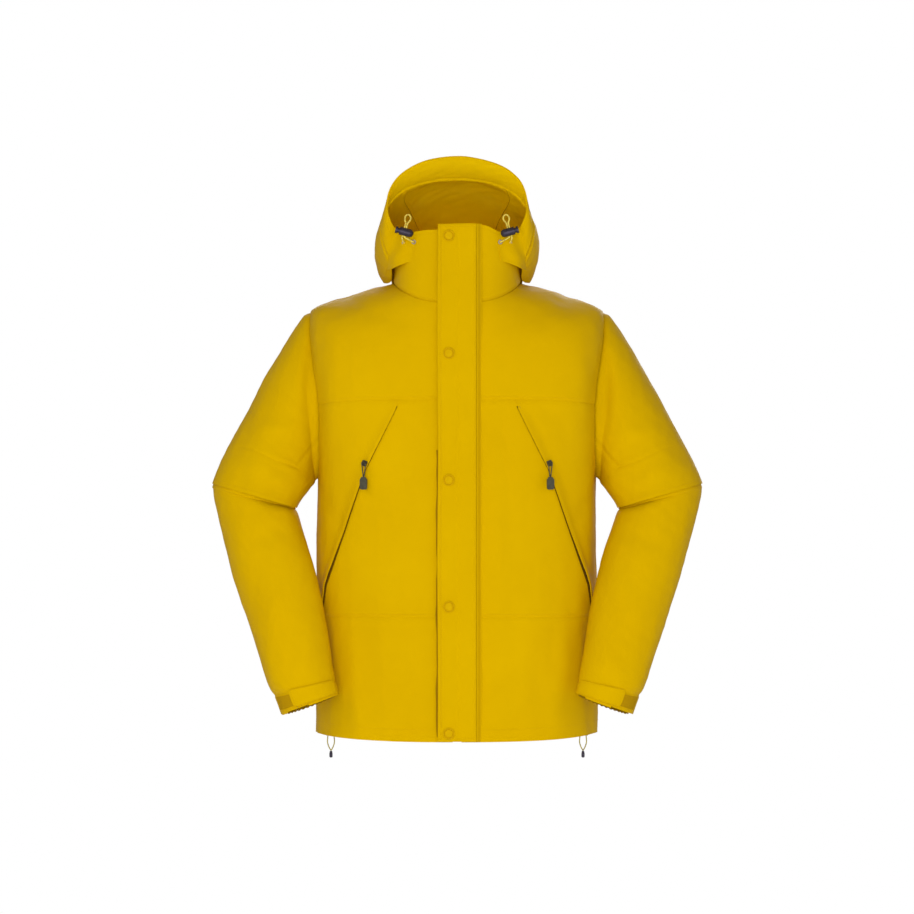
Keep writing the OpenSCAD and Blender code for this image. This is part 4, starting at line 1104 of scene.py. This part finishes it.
# ---------------------------------------------------------------- cords
# Where the cords run, in millimetres, as the frame's own cords do.
LOCK_AT = np.array([84.0, -171.0, 64.0])
LOCK_TILT = math.radians(75)
HEM_AT = np.array([202.0, -123.566, HEM_Z + 9])
HEM_YAW = math.radians(45)
HOOD_ROUTE = [
    (12, 1.5, -18.5), (12, 0.2, -18.3), (12, -0.9, -17.6), (11.8, -1.5, -16.4), (11.4, -1.6, -15),
    (11, -1.2, -12.5), (10, -0.6, -9), (9, -0.1, -5), (7, 0, -1.5), (2, 0, -1.5), (-3, 0, -1.5), (-8, 0, -1.5),
    (-13, 0, -1.5), (-16, 0, -2), (-20, 0, -4), (-24, 0, -4), (-27, 0, -2), (-28, 0, 1), (-26, 0, 4),
    (-22, 0, 5), (-18, 0, 4), (-15, 0, 2), (-13, 0, 1.5), (-8, 0, 1.5), (-3, 0, 1.5), (2, 0, 1.5), (7, 0, 1.5),
    (11, 0, 1), (14, 2, -1), (16, 6, -3), (17, 10.5, -4)]
HEM_HALF_ROUTE = [
    (7, 0, 0), (7.6, 0, -4), (8, 0, -8), (7.4, 0, -12), (5.6, 0, -16), (3.4, 0, -19.5), (1.2, 0, -22)]
HEM_ROUTE = [(-x, y, z) for x, y, z in HEM_HALF_ROUTE] + [(0, 0, -23)] + HEM_HALF_ROUTE[::-1]


def lock_frame(q):
    c, s = math.cos(LOCK_TILT), math.sin(LOCK_TILT)
    return np.array([c * q[0] + s * q[2], q[1], -s * q[0] + c * q[2]]) + LOCK_AT


def hem_frame(q):
    c, s = math.cos(HEM_YAW), math.sin(HEM_YAW)
    return np.array([c * q[0] - s * q[1], s * q[0] + c * q[1], q[2]]) + HEM_AT


def cord(name, route, diameter, cover):
    curve = bpy.data.curves.new(name, "CURVE")
    curve.dimensions = "3D"
    curve.bevel_depth = diameter / 2 * MM
    curve.bevel_resolution = 5
    curve.resolution_u = 8
    curve.use_fill_caps = True
    spline = curve.splines.new("BEZIER")
    spline.bezier_points.add(len(route) - 1)
    for point, at in zip(spline.bezier_points, route):
        point.co = Vector(at) * MM
        point.handle_left_type = point.handle_right_type = "AUTO"
    curve.materials.append(cover)
    obj = add_object(name, curve)
    return obj


for side, sign in SIDES:
    for stem, in_frame, points, diameter, cover, body, node, lay in (
            # name, frame, route, diameter, material, body, replaced node, lay
            ("hood_cord", lock_frame, HOOD_ROUTE, 2.5, CORD, "jacket", "hood_cord", "loose"),
            ("hem_cord", hem_frame, HEM_ROUTE, 1.8, HEM_CORD, f"hem_cord_{side}", "hem_cord_loop", "hanging")):
        route = [tuple(in_frame(q) * (sign, 1, 1)) for q in points]
        obj = cord(f"{stem}_{side}_braid", route, diameter, cover)
        place(obj, body, [f"{node}_{side}"])

# ---------------------------------------------------------------- finishes of the frame's own small parts
FINISHES = {
    "zip_end_stops": METAL, "main_slider": METAL, "main_pull": PLASTIC, "snap_sockets": METAL,
    "snap_studs": METAL, "hood_eyelets": METAL, "hem_eyelets": METAL, "pocket_slider": ZIP, "pocket_pull": PULL,
    "cord_lock": PLASTIC, "cord_lock_button": PLASTIC, "hem_cord_end": PLASTIC,
}
for stem, finish in FINISHES.items():
    for name in (stem, stem + "_right", stem + "_left"):
        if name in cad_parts:
            for material_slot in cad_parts[name].material_slots:
                material_slot.material = finish

build_stitches()

# ---------------------------------------------------------------- floor and light
FLOOR_RADIUS, FLOOR_Z, FLOOR_CORNERS = 2800, -1360, 128
turn = np.linspace(0, 2 * math.pi, FLOOR_CORNERS, endpoint=False)
floor = new_object("floor", np.stack([FLOOR_RADIUS * np.cos(turn), FLOOR_RADIUS * np.sin(turn),
                                      0 * turn + FLOOR_Z], axis=-1), [tuple(range(FLOOR_CORNERS))])
floor.data.materials.append(moulded("floor_paper", (0.86, 0.86, 0.86), 0.9))

# The sky is white to look at, and lights the jacket a little less than it shows.
world = bpy.data.worlds.new("studio")
world.use_nodes = True
sky = world.node_tree
background = sky.nodes["Background"].inputs
seen = sky.nodes.new("ShaderNodeLightPath").outputs["Is Camera Ray"]
feed(background["Color"], (1, 1, 1))
feed(background["Strength"],
     add_node(sky, "ShaderNodeMapRange", {"Value": seen, "To Min": 0.34, "To Max": 1.0}, "Result"))
bpy.context.scene.world = world


def lamp(name, at, aim, size, power):
    data = bpy.data.lights.new(name, "AREA")
    data.shape = "SQUARE"
    data.size = size
    data.energy = power
    obj = add_object(name, data)
    obj.location = at
    obj.rotation_euler = (Vector(aim) - Vector(at)).to_track_quat("-Z", "Y").to_euler()


MIDDLE = (0, -0.1, -0.3)
lamp("front", (-0.3, -3.4, -0.35), MIDDLE, 2.0, 66)
lamp("key", (-2.0, -2.2, 1.5), MIDDLE, 1.6, 12)
lamp("fill", (2.3, -1.9, -0.2), MIDDLE, 1.8, 8)
lamp("back", (0.4, 2.8, 1.0), MIDDLE, 2.4, 60)

scene = bpy.context.scene
scene.view_settings.view_transform = "Standard"
scene.view_settings.look = "None"
